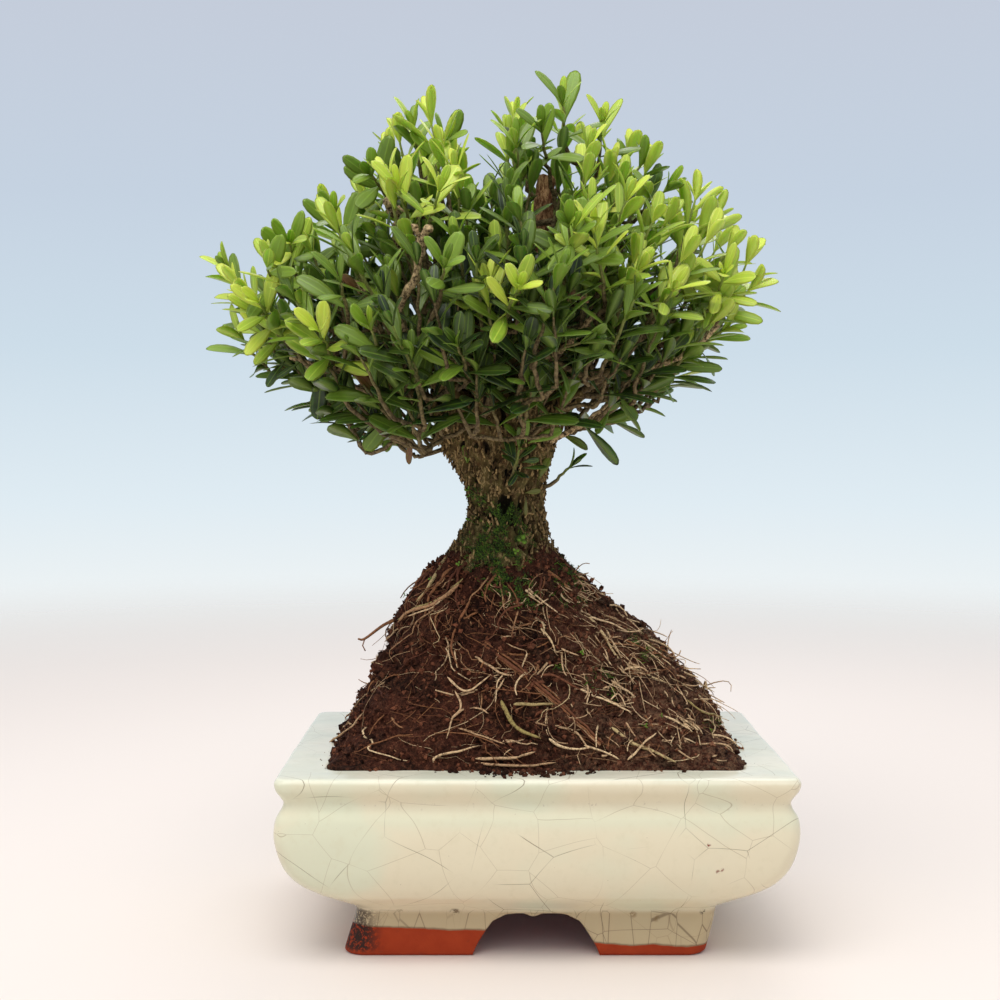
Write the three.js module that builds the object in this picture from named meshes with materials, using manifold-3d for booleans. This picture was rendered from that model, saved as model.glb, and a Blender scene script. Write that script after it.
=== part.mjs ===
// Harland boxwood bonsai in a glazed rectangular pot.
// Millimetres, +Z up. Sizes are measured from the pot's centre, on the surface that it stands on.
// The last lines move the whole, so that the origin lies under the middle of the plant and pot together.

import * as THREE from "three";
import { mergeVertices } from "three/addons/utils/BufferGeometryUtils.js";
import Module from "manifold-3d";

const wasm = await Module();
wasm.setup();

const FULL_TURN = 2 * Math.PI;
const DEGREE = Math.PI / 180;
const UP = new THREE.Vector3(0, 0, 1);
const CLEARANCE = 0.3; // between pieces that touch on the real thing

// Pot: rounded rectangles from the foot ring up to the rim,
// each [height, half length, half width, corner radius]
const POT_HEIGHT = 65;
const POT_OUTSIDE = [
  [0, 61.4, 46.9, 6],
  [2, 63, 48.5, 7],
  [15, 62.6, 48.8, 7],
  [16.8, 63.6, 50.2, 9],
  [18.8, 67.5, 53, 11],
  [21.3, 72.4, 56.4, 12],
  [24, 77, 59.4, 11],
  [28, 82.2, 61.8, 9],
  [34, 86.2, 63.4, 7],
  [43, 88.5, 64.2, 5],
  [50, 88.3, 63.8, 5],
  [54, 86.2, 62.3, 4],
  [56, 85.7, 62, 4],
  [58, 86.6, 62.9, 4],
  [60.5, 88, 64.5, 4],
  [63, 88.5, 65, 4],
  [64.4, 87.9, 64.4, 4],
  [POT_HEIGHT, 86.4, 62.9, 4],
];
const POT_FLOOR_TOP = 21.5;
const POT_FLOOR_UNDERSIDE = 15;
const POT_INSIDE = [
  [POT_FLOOR_TOP, 63, 42.5, 9],
  [POT_FLOOR_TOP + 3, 66, 44.5, 9],
  [POT_HEIGHT, 72, 49.5, 6],
];
const FOOT_RING_INSIDE = [54, 39.5, 5]; // half length, half width, corner radius
const FOOT_ARCH = [
  [22, -1],
  [22, 0],
  [20.4, 3.8],
  [17.8, 8],
  [15.2, 11.8],
  [10.5, 14.2],
]; // half of the arch between two feet, [half span, height]
const SIDE_ARCH_SHARE = 0.8; // the arches in the short sides are narrower
const CORNER_POINTS = 5;
const DRAIN_HOLE_RADIUS = 8;
const DRAIN_HOLE_OFFSET = 32; // of each hole from the pot's centre, along its length

// Plastic drain screens, lying on the pot's floor over the holes
const SCREEN_SIDE = 24;
const SCREEN_THICKNESS = 1.2;
const SCREEN_ROWS = 3; // of openings each way
const SCREEN_PITCH = 7;
const SCREEN_OPENING = 5;

// Root ball: the mound above the rim, each [height, middle along X, half length, half width, squareness]
const MOUND = [
  [58, 0, 70.6, 48.2, 6],
  [65.5, 0, 70.8, 48.2, 5],
  [73, 0, 67.6, 45.6, 3.6],
  [81, -0.6, 64, 42, 3],
  [88.5, -0.6, 58, 38.5, 2.6],
  [96, -1.5, 53, 36, 2.4],
  [103.5, -3, 48.5, 34, 2.2],
  [111, -7, 42.5, 31.5, 2.1],
  [118.4, -11.5, 35, 29.5, 2],
  [124, -12, 30.5, 27.6, 2],
  [127.5, -12, 28, 26.4, 2],
];
const MOUND_COLUMNS = 28;
const THICK_ROOTS = 6;
const FINE_ROOTS = 20;
const ROOT_STEPS = 4;

// Trunk: each [height, middle along X, radius]. What lies below the ground line is sunk in the root ball.
const GROUND_LINE = 127.5;
const TRUNK = [
  [100, -12, 16],
  [GROUND_LINE, -12, 24],
  [131.5, -12, 22.4],
  [136, -12, 19.6],
  [141, -12, 16.4],
  [148, -11, 13.6],
  [155, -11, 12.8],
  [162, -11.5, 14],
  [169, -13, 16.8],
  [176, -14, 20.2],
  [183, -13, 22],
  [190, -12, 20.6],
  [196, -12, 14],
];
const TRUNK_COLUMNS = 20;
const BARK_RIDGE = 0.9;
const PRUNED_LEADER = { from: [-9, 4, 180], to: [5, 6, 276], thick: 5.4, thin: 4 };

// Crown: boughs rise from the fork in three tiers, and each carries leafy stems at its end
const FORK = new THREE.Vector3(-10, 0, 180);
const TIERS = [
  { count: 10, elevation: 25, lift: 5, first: 180, thick: 4.2, stems: 2 },
  { count: 7, elevation: 45, lift: 0, first: 200, thick: 3.8, stems: 3 },
  { count: 4, elevation: 71, lift: 0, first: 245, thick: 3.6, stems: 3 },
]; // lift: degrees by which boughs to the front and back rise more than those to the sides
const CROWN_WAVES = [
  [78, 12, 6],
  [95, 6, -26],
  [128, 13, -10],
]; // top, valley and hollow across the crown, as seen from the front: [degrees from +X, spread, rise]
const BOUGH_STOP = 53; // short of the crown's outline
const BOUGH_TIP_RADIUS = 1.5;
const STEM_SPREAD = 13 * DEGREE; // of a bough's stems from its own heading
const STEM_LENGTH = 31;
const STEM_PAIRS = 4; // of leaves
const STEM_RADIUS = 0.9;
const STEM_TURNS = 12; // tries round a bough for a stem with room
const TWIG_RADIUS = 1.3;
const TWIG_ADVANCE = 3; // the least that a twig runs forward from its bough to its stem
const LIMB_SAMPLES = 14;
const LIMB_ROOM = 5;
const STEM_RISE = 0.6; // how far a stem turns up from straight outwards
const LOWEST_STEM = [0.3, 0.12]; // sine of the least elevation of a stem's end, and what it gains to the front
const LEAF_OVERHANG = 12; // of the topmost leaves past the stem's end

// Leaf: long ellipse, widest just past its middle, with a rounded tip
const LEAF_LENGTH = 18;
const LEAF_WIDTH = 5.8;
const LEAF_OUTLINE = [
  [0.56, 0.5],
  [0.9, 0.27],
]; // [share of length, share of width]
const LEAF_RIB = 0.6;
const LEAF_THICKNESS = 1; // at the midrib
const LEAF_BEND = 0.16; // how far the tip turns back, as a share of length
const LEAF_PITCH = [56, 17]; // degrees between leaf and stem, at the stem's foot and at its end
const CLEAR_TRIES = 6;

// Short shoots on the trunk, with smaller leaves than the crown's
const TRUNK_SHOOTS = [
  { turn: -78 * DEGREE, height: 164, length: 16, rise: 0.9, pairs: 3, leafSize: 0.7 },
  { turn: -12 * DEGREE, height: 162, length: 9, rise: 0.9, pairs: 1, leafSize: 0.6 },
];

const material = (color, roughness) => new THREE.MeshStandardMaterial({ color, roughness, metalness: 0 });
const GLAZE = material(0xcfccb0, 0.2);
const PLASTIC = material(0x20242a, 0.55);
const PEAT = material(0x3a1d12, 0.95);
const BARK = material(0x75583c, 0.95);
const MATURE_LEAF = material(0x2c4a1e, 0.4);
const YOUNG_LEAF = material(0x86b234, 0.4);

// A repeatable draw of numbers from 0 to 1
function seeded(seed) {
  let state = seed >>> 0;
  return () => {
    state = (Math.imul(state, 1664525) + 1013904223) >>> 0;
    return state / 2 ** 32;
  };
}

// The closed solid that a geometry bounds
function solid(geometry) {
  geometry.deleteAttribute("normal");
  geometry.deleteAttribute("uv");
  const merged = mergeVertices(geometry, 1e-4);
  return new wasm.Manifold(
    new wasm.Mesh({
      numProp: 3,
      vertProperties: new Float32Array(merged.attributes.position.array),
      triVerts: new Uint32Array(merged.index.array),
    }),
  );
}

const joined = (solids) => solids.reduce((whole, next) => whole.add(next));

// A named mesh of a finished solid
function piece(name, body, look) {
  const made = body.getMesh();
  const geometry = new THREE.BufferGeometry();
  geometry.setAttribute("position", new THREE.BufferAttribute(new Float32Array(made.vertProperties), 3));
  geometry.setIndex(new THREE.BufferAttribute(new Uint32Array(made.triVerts), 1));
  geometry.computeVertexNormals();
  const mesh = new THREE.Mesh(geometry, look);
  mesh.name = name;
  return mesh;
}

// A closed solid from a cylinder whose points are moved: place(column, row, onWall) gives the point
// at a column counted anticlockwise seen from above and a row counted upwards, or a cap's middle
// where onWall is false.
function formed(columns, rows, place) {
  const geometry = new THREE.CylinderGeometry(1, 1, 1, columns, rows);
  const point = geometry.attributes.position;
  for (let i = 0; i < point.count; i++) {
    const [x, y, z] = [point.getX(i), point.getY(i), point.getZ(i)];
    const column = Math.round((Math.atan2(x, z) / FULL_TURN) * columns + columns) % columns;
    const row = Math.round((y + 0.5) * rows);
    point.setXYZ(i, ...place(column, row, Math.hypot(x, z) > 0.5));
  }
  return solid(geometry);
}

// A stack of rounded rectangles
function roundedStack(levels, grow = 0) {
  return formed(4 * CORNER_POINTS, levels.length - 1, (column, row, onWall) => {
    const [height, halfLength, halfWidth, radius] = levels[row];
    if (!onWall) return [0, 0, height];
    const corner = Math.floor(column / CORNER_POINTS);
    const turn = (corner + (column % CORNER_POINTS) / (CORNER_POINTS - 1)) * (Math.PI / 2);
    const sideX = corner === 0 || corner === 3 ? 1 : -1;
    const sideY = corner < 2 ? 1 : -1;
    return [
      sideX * (halfLength - radius) + (radius + grow) * Math.cos(turn),
      sideY * (halfWidth - radius) + (radius + grow) * Math.sin(turn),
      height,
    ];
  });
}

// A limb with round sections along a curve, from one radius to another
function limb(curve, columns, rows, thick, thin, firstCorner = 0) {
  const frames = curve.computeFrenetFrames(rows, false);
  return formed(columns, rows, (column, row, onWall) => {
    const point = curve.getPointAt(row / rows);
    if (!onWall) return point.toArray();
    const radius = thick + (thin - thick) * (row / rows);
    const turn = firstCorner + (column / columns) * FULL_TURN;
    point.addScaledVector(frames.normals[row], radius * Math.cos(turn));
    point.addScaledVector(frames.binormals[row], radius * Math.sin(turn));
    return point.toArray();
  });
}

// The row of a table at a height between two of its rows
function between(table, height) {
  const last = table.length - 1;
  const next = table.findIndex((row, i) => i > 0 && (row[0] >= height || i === last));
  const [low, high] = [table[next - 1], table[next]];
  const share = (height - low[0]) / (high[0] - low[0]);
  return low.map((value, i) => value + (high[i] - value) * share);
}

function archCutter(share, depth) {
  const right = FOOT_ARCH.map(([span, height]) => new THREE.Vector2(span * share, height));
  const left = [...right].reverse().map((point) => new THREE.Vector2(-point.x, point.y));
  const geometry = new THREE.ExtrudeGeometry(new THREE.Shape([...right, ...left]), {
    depth: 2 * depth,
    bevelEnabled: false,
    steps: 1,
  });
  return geometry.translate(0, 0, -depth).rotateX(Math.PI / 2);
}

function pot() {
  const outside = roundedStack(POT_OUTSIDE);
  const [floor, curve, rim] = POT_INSIDE;
  const overRim = between([curve, rim], POT_HEIGHT + 1);
  const underFoot = [-1, POT_FLOOR_UNDERSIDE].map((height) => [height, ...FOOT_RING_INSIDE]);
  const cuts = [
    roundedStack([floor, curve, overRim]),
    roundedStack(underFoot),
    solid(archCutter(1, 80)),
    solid(archCutter(SIDE_ARCH_SHARE, 80).rotateZ(Math.PI / 2)),
  ];
  for (const side of [-1, 1]) {
    const hole = new THREE.CylinderGeometry(DRAIN_HOLE_RADIUS, DRAIN_HOLE_RADIUS, 20, 12);
    hole.rotateX(Math.PI / 2).translate(side * DRAIN_HOLE_OFFSET, 0, POT_FLOOR_TOP);
    cuts.push(solid(hole));
  }
  return cuts.reduce((whole, cut) => whole.subtract(cut), outside);
}

function drainScreen(side) {
  const middle = POT_FLOOR_TOP + CLEARANCE + SCREEN_THICKNESS / 2;
  const sheet = new THREE.BoxGeometry(SCREEN_SIDE, SCREEN_SIDE, SCREEN_THICKNESS);
  let plate = solid(sheet.translate(0, 0, middle));
  for (let i = 0; i < SCREEN_ROWS; i++)
    for (let j = 0; j < SCREEN_ROWS; j++) {
      const [x, y] = [i, j].map((step) => (step - (SCREEN_ROWS - 1) / 2) * SCREEN_PITCH);
      const opening = new THREE.BoxGeometry(SCREEN_OPENING, SCREEN_OPENING, 3 * SCREEN_THICKNESS);
      plate = plate.subtract(solid(opening.translate(x, y, middle)));
    }
  return plate.translate([side * DRAIN_HOLE_OFFSET, 0, 0]);
}

// The mound's surface, lumpy as crumbled peat, at a turn round it and a height
function moundPoint(turn, height, grow = 0) {
  const [, middle, halfLength, halfWidth, squareness] = between(MOUND, height);
  const [c, s] = [Math.cos(turn), Math.sin(turn)];
  const radius =
    (Math.abs(c / halfLength) ** squareness + Math.abs(s / halfWidth) ** squareness) ** (-1 / squareness);
  const fade = Math.min(1, Math.max(0, (height - MOUND[1][0]) / 10), (GROUND_LINE + 4 - height) / 10);
  const lumps =
    1.5 * Math.sin(5 * turn + 0.17 * height) +
    1.1 * Math.sin(9 * turn - 0.31 * height + 1.3) +
    0.7 * Math.sin(14 * turn + 0.45 * height);
  const out = radius + fade * lumps + grow;
  return new THREE.Vector3(middle + out * c, out * s, height);
}

function trunkPoint(turn, height, grow = 0) {
  const [, middle, radius] = between(TRUNK, height);
  const bark = height <= GROUND_LINE ? 0 : BARK_RIDGE * Math.cos((TRUNK_COLUMNS / 2) * turn);
  const swell = height <= GROUND_LINE ? 0 : 0.07 * radius * Math.sin(3 * turn + 0.05 * height);
  const out = radius + bark + swell + grow;
  return new THREE.Vector3(middle + out * Math.cos(turn), out * Math.sin(turn), height);
}

// A root that runs down the mound's surface, partly sunk in it, and ends either sunk or sticking out
function surfaceRoot(draw, { first, top, drop, sway, thick, free }) {
  const steps = ROOT_STEPS;
  let turn = first;
  const lean = (draw() - 0.5) * sway;
  const points = [];
  for (let i = 0; i <= steps; i++) {
    const share = i / steps;
    const last = i === steps;
    const stand = last && free ? 5 : i === 0 || last ? -1.3 * thick : 0.85 * thick;
    points.push(moundPoint(turn, top - drop * share, stand));
    turn += (lean + (draw() - 0.5) * 0.5 * sway) / steps;
  }
  return limb(new THREE.CatmullRomCurve3(points), 3, steps, thick, thick * 0.55);
}

function rootBall() {
  const sunken = POT_INSIDE.map((level) => [...level]);
  sunken[0][0] += CLEARANCE;
  sunken[2][0] -= CLEARANCE;
  const mound = formed(MOUND_COLUMNS, MOUND.length - 1, (column, row, onWall) =>
    onWall
      ? moundPoint((column / MOUND_COLUMNS) * FULL_TURN, MOUND[row][0]).toArray()
      : [MOUND[row][1], 0, MOUND[row][0]],
  );
  const bodies = [roundedStack(sunken, -CLEARANCE), mound];
  const draw = seeded(19);
  for (let i = 0; i < THICK_ROOTS; i++) {
    const first = ((i + 0.8 * draw()) / THICK_ROOTS) * FULL_TURN;
    const drop = 26 + 22 * draw();
    bodies.push(surfaceRoot(draw, { first, top: 125, drop, sway: 1.1, thick: 2.6, free: false }));
  }
  for (let i = 0; i < FINE_ROOTS; i++) {
    const first = ((i + draw()) / FINE_ROOTS) * FULL_TURN;
    const top = 76 + 44 * Math.sqrt(draw());
    const drop = Math.min(top - 68, 8 + 20 * draw());
    const thick = 0.9 + 0.4 * draw();
    bodies.push(surfaceRoot(draw, { first, top, drop, sway: 1.4, thick, free: i % 4 === 0 }));
  }
  let whole = joined(bodies);
  const socketRows = [TRUNK[0][0] - CLEARANCE, GROUND_LINE, GROUND_LINE + 8];
  whole = whole.subtract(
    formed(TRUNK_COLUMNS, socketRows.length - 1, (column, row, onWall) => {
      const height = socketRows[row];
      const turn = (column / TRUNK_COLUMNS) * FULL_TURN;
      if (!onWall) return [TRUNK[0][1], 0, height];
      return trunkPoint(turn, Math.min(height, GROUND_LINE), CLEARANCE + 0.1).setZ(height).toArray();
    }),
  );
  for (const side of [-1, 1]) {
    const pocket = SCREEN_SIDE + 2 * CLEARANCE;
    const room = new THREE.BoxGeometry(pocket, pocket, 2 * (SCREEN_THICKNESS + 2 * CLEARANCE));
    whole = whole.subtract(solid(room.translate(side * DRAIN_HOLE_OFFSET, 0, POT_FLOOR_TOP)));
  }
  return whole;
}

const heading = (azimuth, elevation) =>
  new THREE.Vector3(
    Math.cos(elevation) * Math.cos(azimuth),
    Math.cos(elevation) * Math.sin(azimuth),
    Math.sin(elevation),
  );

// How far the crown's outline lies from the fork in a direction: a dome on a shallow upturned cone
function reach(direction) {
  const elevation = Math.asin(direction.z) / DEGREE;
  const azimuth = Math.atan2(direction.y, direction.x);
  const level = Math.cos(elevation * DEGREE);
  const brim = 3 * Math.cos(azimuth);
  const dome = 42 + 80 * THREE.MathUtils.smoothstep(elevation, brim - 2, brim + 33);
  const top = 10 * THREE.MathUtils.smoothstep(elevation, 62, 78);
  const lean = Math.atan2(direction.z, direction.x) / DEGREE;
  const wave = ([middle, spread, rise]) => rise * Math.exp(-(((lean - middle) / spread) ** 2));
  const waves = CROWN_WAVES.map(wave).reduce((sum, next) => sum + next);
  const lobes = 5 * level * Math.sin(3 * azimuth + 1.2) - 9 * level * Math.cos(azimuth);
  return (dome + top + waves + lobes) * (1 - 0.1 * level * Math.abs(Math.sin(azimuth)));
}

const sampled = (curve) => curve.getPoints(LIMB_SAMPLES);

const crowded = (points, taken) =>
  points.some((point) => taken.some((other) => point.distanceTo(other) < LIMB_ROOM));

function crownBoughs() {
  return TIERS.flatMap((tier) =>
    Array.from({ length: tier.count }, (_, i) => {
      const azimuth = (tier.first + (360 / tier.count) * i) * DEGREE;
      const lift = tier.lift * Math.abs(Math.sin(azimuth));
      const elevation = (tier.elevation + lift + (i % 2 ? 4 : -3)) * DEGREE;
      const along = heading(azimuth, elevation);
      const start = FORK.clone().add(new THREE.Vector3(along.x, along.y, 0).multiplyScalar(8));
      const end = FORK.clone().addScaledVector(along, reach(along) - BOUGH_STOP);
      const middle = start.clone().lerp(end, 0.5);
      middle.z += (80 - tier.elevation) * 0.08;
      return { ...tier, along, curve: new THREE.QuadraticBezierCurve3(start, middle, end) };
    }),
  );
}

const prunedLeader = () =>
  new THREE.LineCurve3(new THREE.Vector3(...PRUNED_LEADER.from), new THREE.Vector3(...PRUNED_LEADER.to));

// A leafy stem near a bough's end, at a turn round the bough's own heading, and the twig that carries it
function stemAt(bough, turn, along) {
  const level = new THREE.Vector3().crossVectors(UP, bough.along).normalize();
  const rise = new THREE.Vector3().crossVectors(bough.along, level);
  const out = bough.along.clone();
  out.addScaledVector(level, Math.tan(STEM_SPREAD) * Math.cos(turn));
  out.addScaledVector(rise, Math.tan(STEM_SPREAD) * Math.sin(turn)).normalize();
  out.setZ(Math.max(out.z, LOWEST_STEM[0] + LOWEST_STEM[1] * Math.abs(out.y))).normalize();
  const direction = out.clone().addScaledVector(UP, STEM_RISE).normalize();
  const tip = FORK.clone().addScaledVector(out, reach(out) - LEAF_OVERHANG);
  const base = tip.clone().addScaledVector(direction, -STEM_LENGTH);
  const end = base.clone().addScaledVector(direction, -CLEARANCE);
  const from = bough.curve.getPoint(along);
  const middle = end.clone().addScaledVector(direction, -0.5 * from.distanceTo(end));
  return {
    direction,
    line: new THREE.LineCurve3(base, tip),
    twig: new THREE.QuadraticBezierCurve3(from, middle, end),
  };
}

// Each bough's leafy stems, turned round it until they have room beside what is there already
function crownStems(boughs) {
  const stems = [];
  const woody = [prunedLeader(), ...boughs.map((bough) => bough.curve)].flatMap(sampled);
  boughs.forEach((bough, number) => {
    for (let k = 0; k < bough.stems; k++)
      for (let attempt = 0; attempt < STEM_TURNS; attempt++) {
        const turn = (k / bough.stems + 0.07 * number + attempt / STEM_TURNS) * FULL_TURN;
        const stem = stemAt(bough, turn, 1 - 0.15 * k);
        const advance = stem.twig.v2.clone().sub(stem.twig.v0).dot(stem.direction);
        if (advance < TWIG_ADVANCE) continue;
        const lines = stems.flatMap((other) => sampled(other.line));
        const twigs = stems.flatMap((other) => sampled(other.twig));
        if (crowded(sampled(stem.line), [...woody, ...lines, ...twigs])) continue;
        if (crowded(sampled(stem.twig), lines)) continue;
        stems.push({ ...stem, number, pairs: STEM_PAIRS, leafSize: 1 });
        break;
      }
  });
  return stems;
}

// A short leafy stem that grows from the trunk's side
function trunkShoot({ turn, height, length, rise, pairs, leafSize }) {
  const base = trunkPoint(turn, height, 4);
  const direction = new THREE.Vector3(Math.cos(turn), Math.sin(turn), rise).normalize();
  const tip = base.clone().addScaledVector(direction, length);
  const end = base.clone().addScaledVector(direction, -CLEARANCE);
  const from = trunkPoint(turn, height - 3, -4);
  const middle = end.clone().addScaledVector(direction, -0.5 * from.distanceTo(end));
  const twig = new THREE.QuadraticBezierCurve3(from, middle, end);
  return { direction, line: new THREE.LineCurve3(base, tip), twig, number: 0, pairs, leafSize };
}

function wood(boughs, stems) {
  const bole = formed(TRUNK_COLUMNS, TRUNK.length - 1, (column, row, onWall) =>
    onWall
      ? trunkPoint((column / TRUNK_COLUMNS) * FULL_TURN, TRUNK[row][0]).toArray()
      : [TRUNK[row][1], 0, TRUNK[row][0]],
  );
  return joined([
    bole,
    limb(prunedLeader(), 6, 2, PRUNED_LEADER.thick, PRUNED_LEADER.thin),
    ...boughs.map(({ curve, thick }) => limb(curve, 5, 3, thick, BOUGH_TIP_RADIUS)),
    ...stems.map(({ twig }) => limb(twig, 3, 2, TWIG_RADIUS, STEM_RADIUS + 0.1)),
  ]);
}

// A blade with its root at a point, running along one direction with its upper face towards another
function leaf(root, along, face, length, width) {
  const side = new THREE.Vector3().crossVectors(face, along);
  const at = (share, across, lift) =>
    root
      .clone()
      .addScaledVector(along, share * length)
      .addScaledVector(side, across * width)
      .addScaledVector(face, lift - LEAF_BEND * share * share * length)
      .toArray();
  const right = LEAF_OUTLINE.map(([share, across]) => at(share, -across, 0));
  const left = LEAF_OUTLINE.map(([share, across]) => at(share, across, 0)).reverse();
  const rim = [at(0, 0, 0), ...right, at(1, 0, 0), ...left];
  const points = [...rim, at(LEAF_RIB, 0, LEAF_THICKNESS)];
  const upper = rim.flatMap((_, i) => [i, (i + 1) % rim.length, rim.length]);
  const lower = [0, 5, 1, 1, 5, 4, 1, 4, 2, 2, 4, 3];
  const geometry = new THREE.BufferGeometry();
  geometry.setAttribute("position", new THREE.BufferAttribute(new Float32Array(points.flat()), 3));
  geometry.setIndex([...upper, ...lower]);
  return solid(geometry);
}

// A leafy stem: opposite pairs of leaves, each pair a quarter turn on from the last. A leaf that would cross
// another piece is turned a little further round the stem, and left out if no turn is clear.
function leafyStem({ line, direction: along, pairs, leafSize }, draw, others) {
  const sideways = line.computeFrenetFrames(1, false).normals[0];
  const roll = draw() * FULL_TURN;
  const bodies = [bareStem(line, roll)];
  for (let pair = 0; pair < pairs; pair++) {
    const share = (pair + 0.85) / (pairs - 0.05);
    const pitch = THREE.MathUtils.lerp(...LEAF_PITCH, share ** 1.5);
    for (const opposite of [0, 1]) {
      const scale = leafSize * (1.04 - 0.26 * share ** 4) * (0.93 + 0.14 * draw());
      for (let attempt = 0; attempt < CLEAR_TRIES; attempt++) {
        const turn = roll + (pair / 4 + opposite / 2) * FULL_TURN + attempt * 17 * DEGREE;
        const tilt = (pitch + 4 * attempt) * DEGREE;
        const outward = sideways.clone().applyAxisAngle(along, turn);
        const run = along.clone().multiplyScalar(Math.cos(tilt)).addScaledVector(outward, Math.sin(tilt));
        const face = along.clone().multiplyScalar(Math.sin(tilt)).addScaledVector(outward, -Math.cos(tilt));
        const root = line.getPoint(share).addScaledVector(run, -0.2);
        const blade = leaf(root, run, face, LEAF_LENGTH * scale, LEAF_WIDTH * scale);
        if (isClear(blade, others)) {
          bodies.push(blade);
          break;
        }
      }
    }
  }
  return joined(bodies);
}

const bareStem = (line, roll = 0) => limb(line, 4, 1, STEM_RADIUS, STEM_RADIUS * 0.6, roll + 45 * DEGREE);
const withBox = (body) => ({ body, box: body.boundingBox() });

function isClear(candidate, others) {
  const { min, max } = candidate.boundingBox();
  return others.every(({ body, box }) => {
    const apart = [0, 1, 2].some((i) => min[i] > box.max[i] + 0.5 || max[i] < box.min[i] - 0.5);
    return apart || candidate.intersect(body).isEmpty();
  });
}

const boughs = crownBoughs();
const stems = [...crownStems(boughs), ...TRUNK_SHOOTS.map(trunkShoot)];
const bonsai = new THREE.Group();
bonsai.add(piece("pot", pot(), GLAZE));
bonsai.add(piece("drain_screen_left", drainScreen(-1), PLASTIC));
bonsai.add(piece("drain_screen_right", drainScreen(1), PLASTIC));
bonsai.add(piece("root_ball", rootBall(), PEAT));

const woody = wood(boughs, stems);
bonsai.add(piece("trunk_and_boughs", woody, BARK));

const bare = stems.map(({ line }) => withBox(bareStem(line)));
const leafy = [];
stems.forEach((stem, i) => {
  const others = [withBox(woody), ...leafy, ...bare.filter((_, j) => j !== i)];
  const body = leafyStem(stem, seeded(100 + i), others);
  leafy.push(withBox(body));
  const young = stem.number >= TIERS[0].count || i % 3 === 0;
  bonsai.add(piece(`leafy_stem_${String(i + 1).padStart(2, "0")}`, body, young ? YOUNG_LEAF : MATURE_LEAF));
});

const whole = new THREE.Box3().setFromObject(bonsai);
bonsai.position.set(-(whole.min.x + whole.max.x) / 2, -(whole.min.y + whole.max.y) / 2, 0);

export default bonsai;
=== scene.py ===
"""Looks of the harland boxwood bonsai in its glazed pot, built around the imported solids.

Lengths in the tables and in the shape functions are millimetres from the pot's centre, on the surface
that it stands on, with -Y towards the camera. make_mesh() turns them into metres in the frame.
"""

import itertools
import math

import bpy
import numpy as np
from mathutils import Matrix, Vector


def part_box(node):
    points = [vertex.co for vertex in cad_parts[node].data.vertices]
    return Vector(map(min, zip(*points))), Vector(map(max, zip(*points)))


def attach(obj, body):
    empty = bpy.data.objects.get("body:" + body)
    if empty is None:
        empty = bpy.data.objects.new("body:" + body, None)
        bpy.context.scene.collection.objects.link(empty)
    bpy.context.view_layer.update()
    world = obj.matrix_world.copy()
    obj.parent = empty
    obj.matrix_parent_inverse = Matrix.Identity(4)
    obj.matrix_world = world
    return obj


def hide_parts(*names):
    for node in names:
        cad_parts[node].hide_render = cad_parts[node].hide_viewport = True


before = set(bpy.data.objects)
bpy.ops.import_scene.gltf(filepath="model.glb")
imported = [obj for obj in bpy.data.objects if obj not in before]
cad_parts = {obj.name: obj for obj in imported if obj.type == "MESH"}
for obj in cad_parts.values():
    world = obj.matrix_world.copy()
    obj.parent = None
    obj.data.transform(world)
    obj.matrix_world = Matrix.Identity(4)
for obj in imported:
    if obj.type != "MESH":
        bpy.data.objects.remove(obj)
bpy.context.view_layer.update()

MM = 0.001
FULL_TURN = 2 * math.pi
UP = np.array([0.0, 0.0, 1.0])
RANDOM = np.random.RandomState(54)

pot_low, pot_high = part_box("pot")
POT_CENTRE = np.array([(pot_low.x + pot_high.x) / 2, (pot_low.y + pot_high.y) / 2, 0.0])

# Camera, as the photograph was taken
CAMERA_PLACE = np.array([-12.5, -569.0, 178.0])
CAMERA_PITCH = math.radians(2.25)  # downwards
PHOTO_SIDE = 1000  # pixels
PHOTO_FOCAL = 1527  # pixels
SENSOR_WIDTH = 36.0
FLOOR_FADE = [0.45, 1.5]  # metres, where the pale floor passes into the backdrop

# Pot: rounded rectangles from the foot ring up to the rim, [height, half length, half width, corner radius]
POT_OUTSIDE = [
    [0, 61.4, 46.9, 6],
    [2, 63, 48.5, 7],
    [15, 62.6, 48.8, 7],
    [16.8, 63.6, 50.2, 9],
    [18.8, 67.5, 53, 11],
    [21.3, 72.4, 56.4, 12],
    [24, 77, 59.4, 11],
    [28, 82.2, 61.8, 9],
    [34, 86.2, 63.4, 7],
    [43, 88.5, 64.2, 5],
    [50, 88.3, 63.8, 5],
    [54, 86.2, 62.3, 4],
    [56, 85.7, 62, 4],
    [58, 86.6, 62.9, 4],
    [60.5, 88, 64.5, 4],
    [63, 88.5, 65, 4],
    [64.4, 87.9, 64.4, 4],
    [65, 86.4, 62.9, 4],
]
POT_HEIGHT = 65
POT_FLOOR_TOP = 21.5
POT_FLOOR_UNDERSIDE = 15
POT_INSIDE = [
    [65, 73.4, 50.9, 6],
    [64.2, 72.2, 49.7, 6],
    [61, 71.4, 48.9, 6],
    [24.5, 66, 44.5, 9],
    [22.2, 64, 43, 9],
    [21.5, 61.5, 41, 9],
]
FOOT_RING_INSIDE = [54, 39.5, 5]
FOOT_ARCH = [[-22, 0], [-20.4, 3.8], [-17.8, 8], [-15.2, 11.8], [-10.5, 14.2], [-5, 14.7], [0, 14.8]]
SIDE_ARCH_SHARE = 0.8
ARCH_SPAN = 26  # half of the stretch of wall that has evenly spaced columns
FOOT_LEAN = 4
DRAIN_HOLE_RADIUS = 8
DRAIN_HOLE_OFFSET = 32

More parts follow.
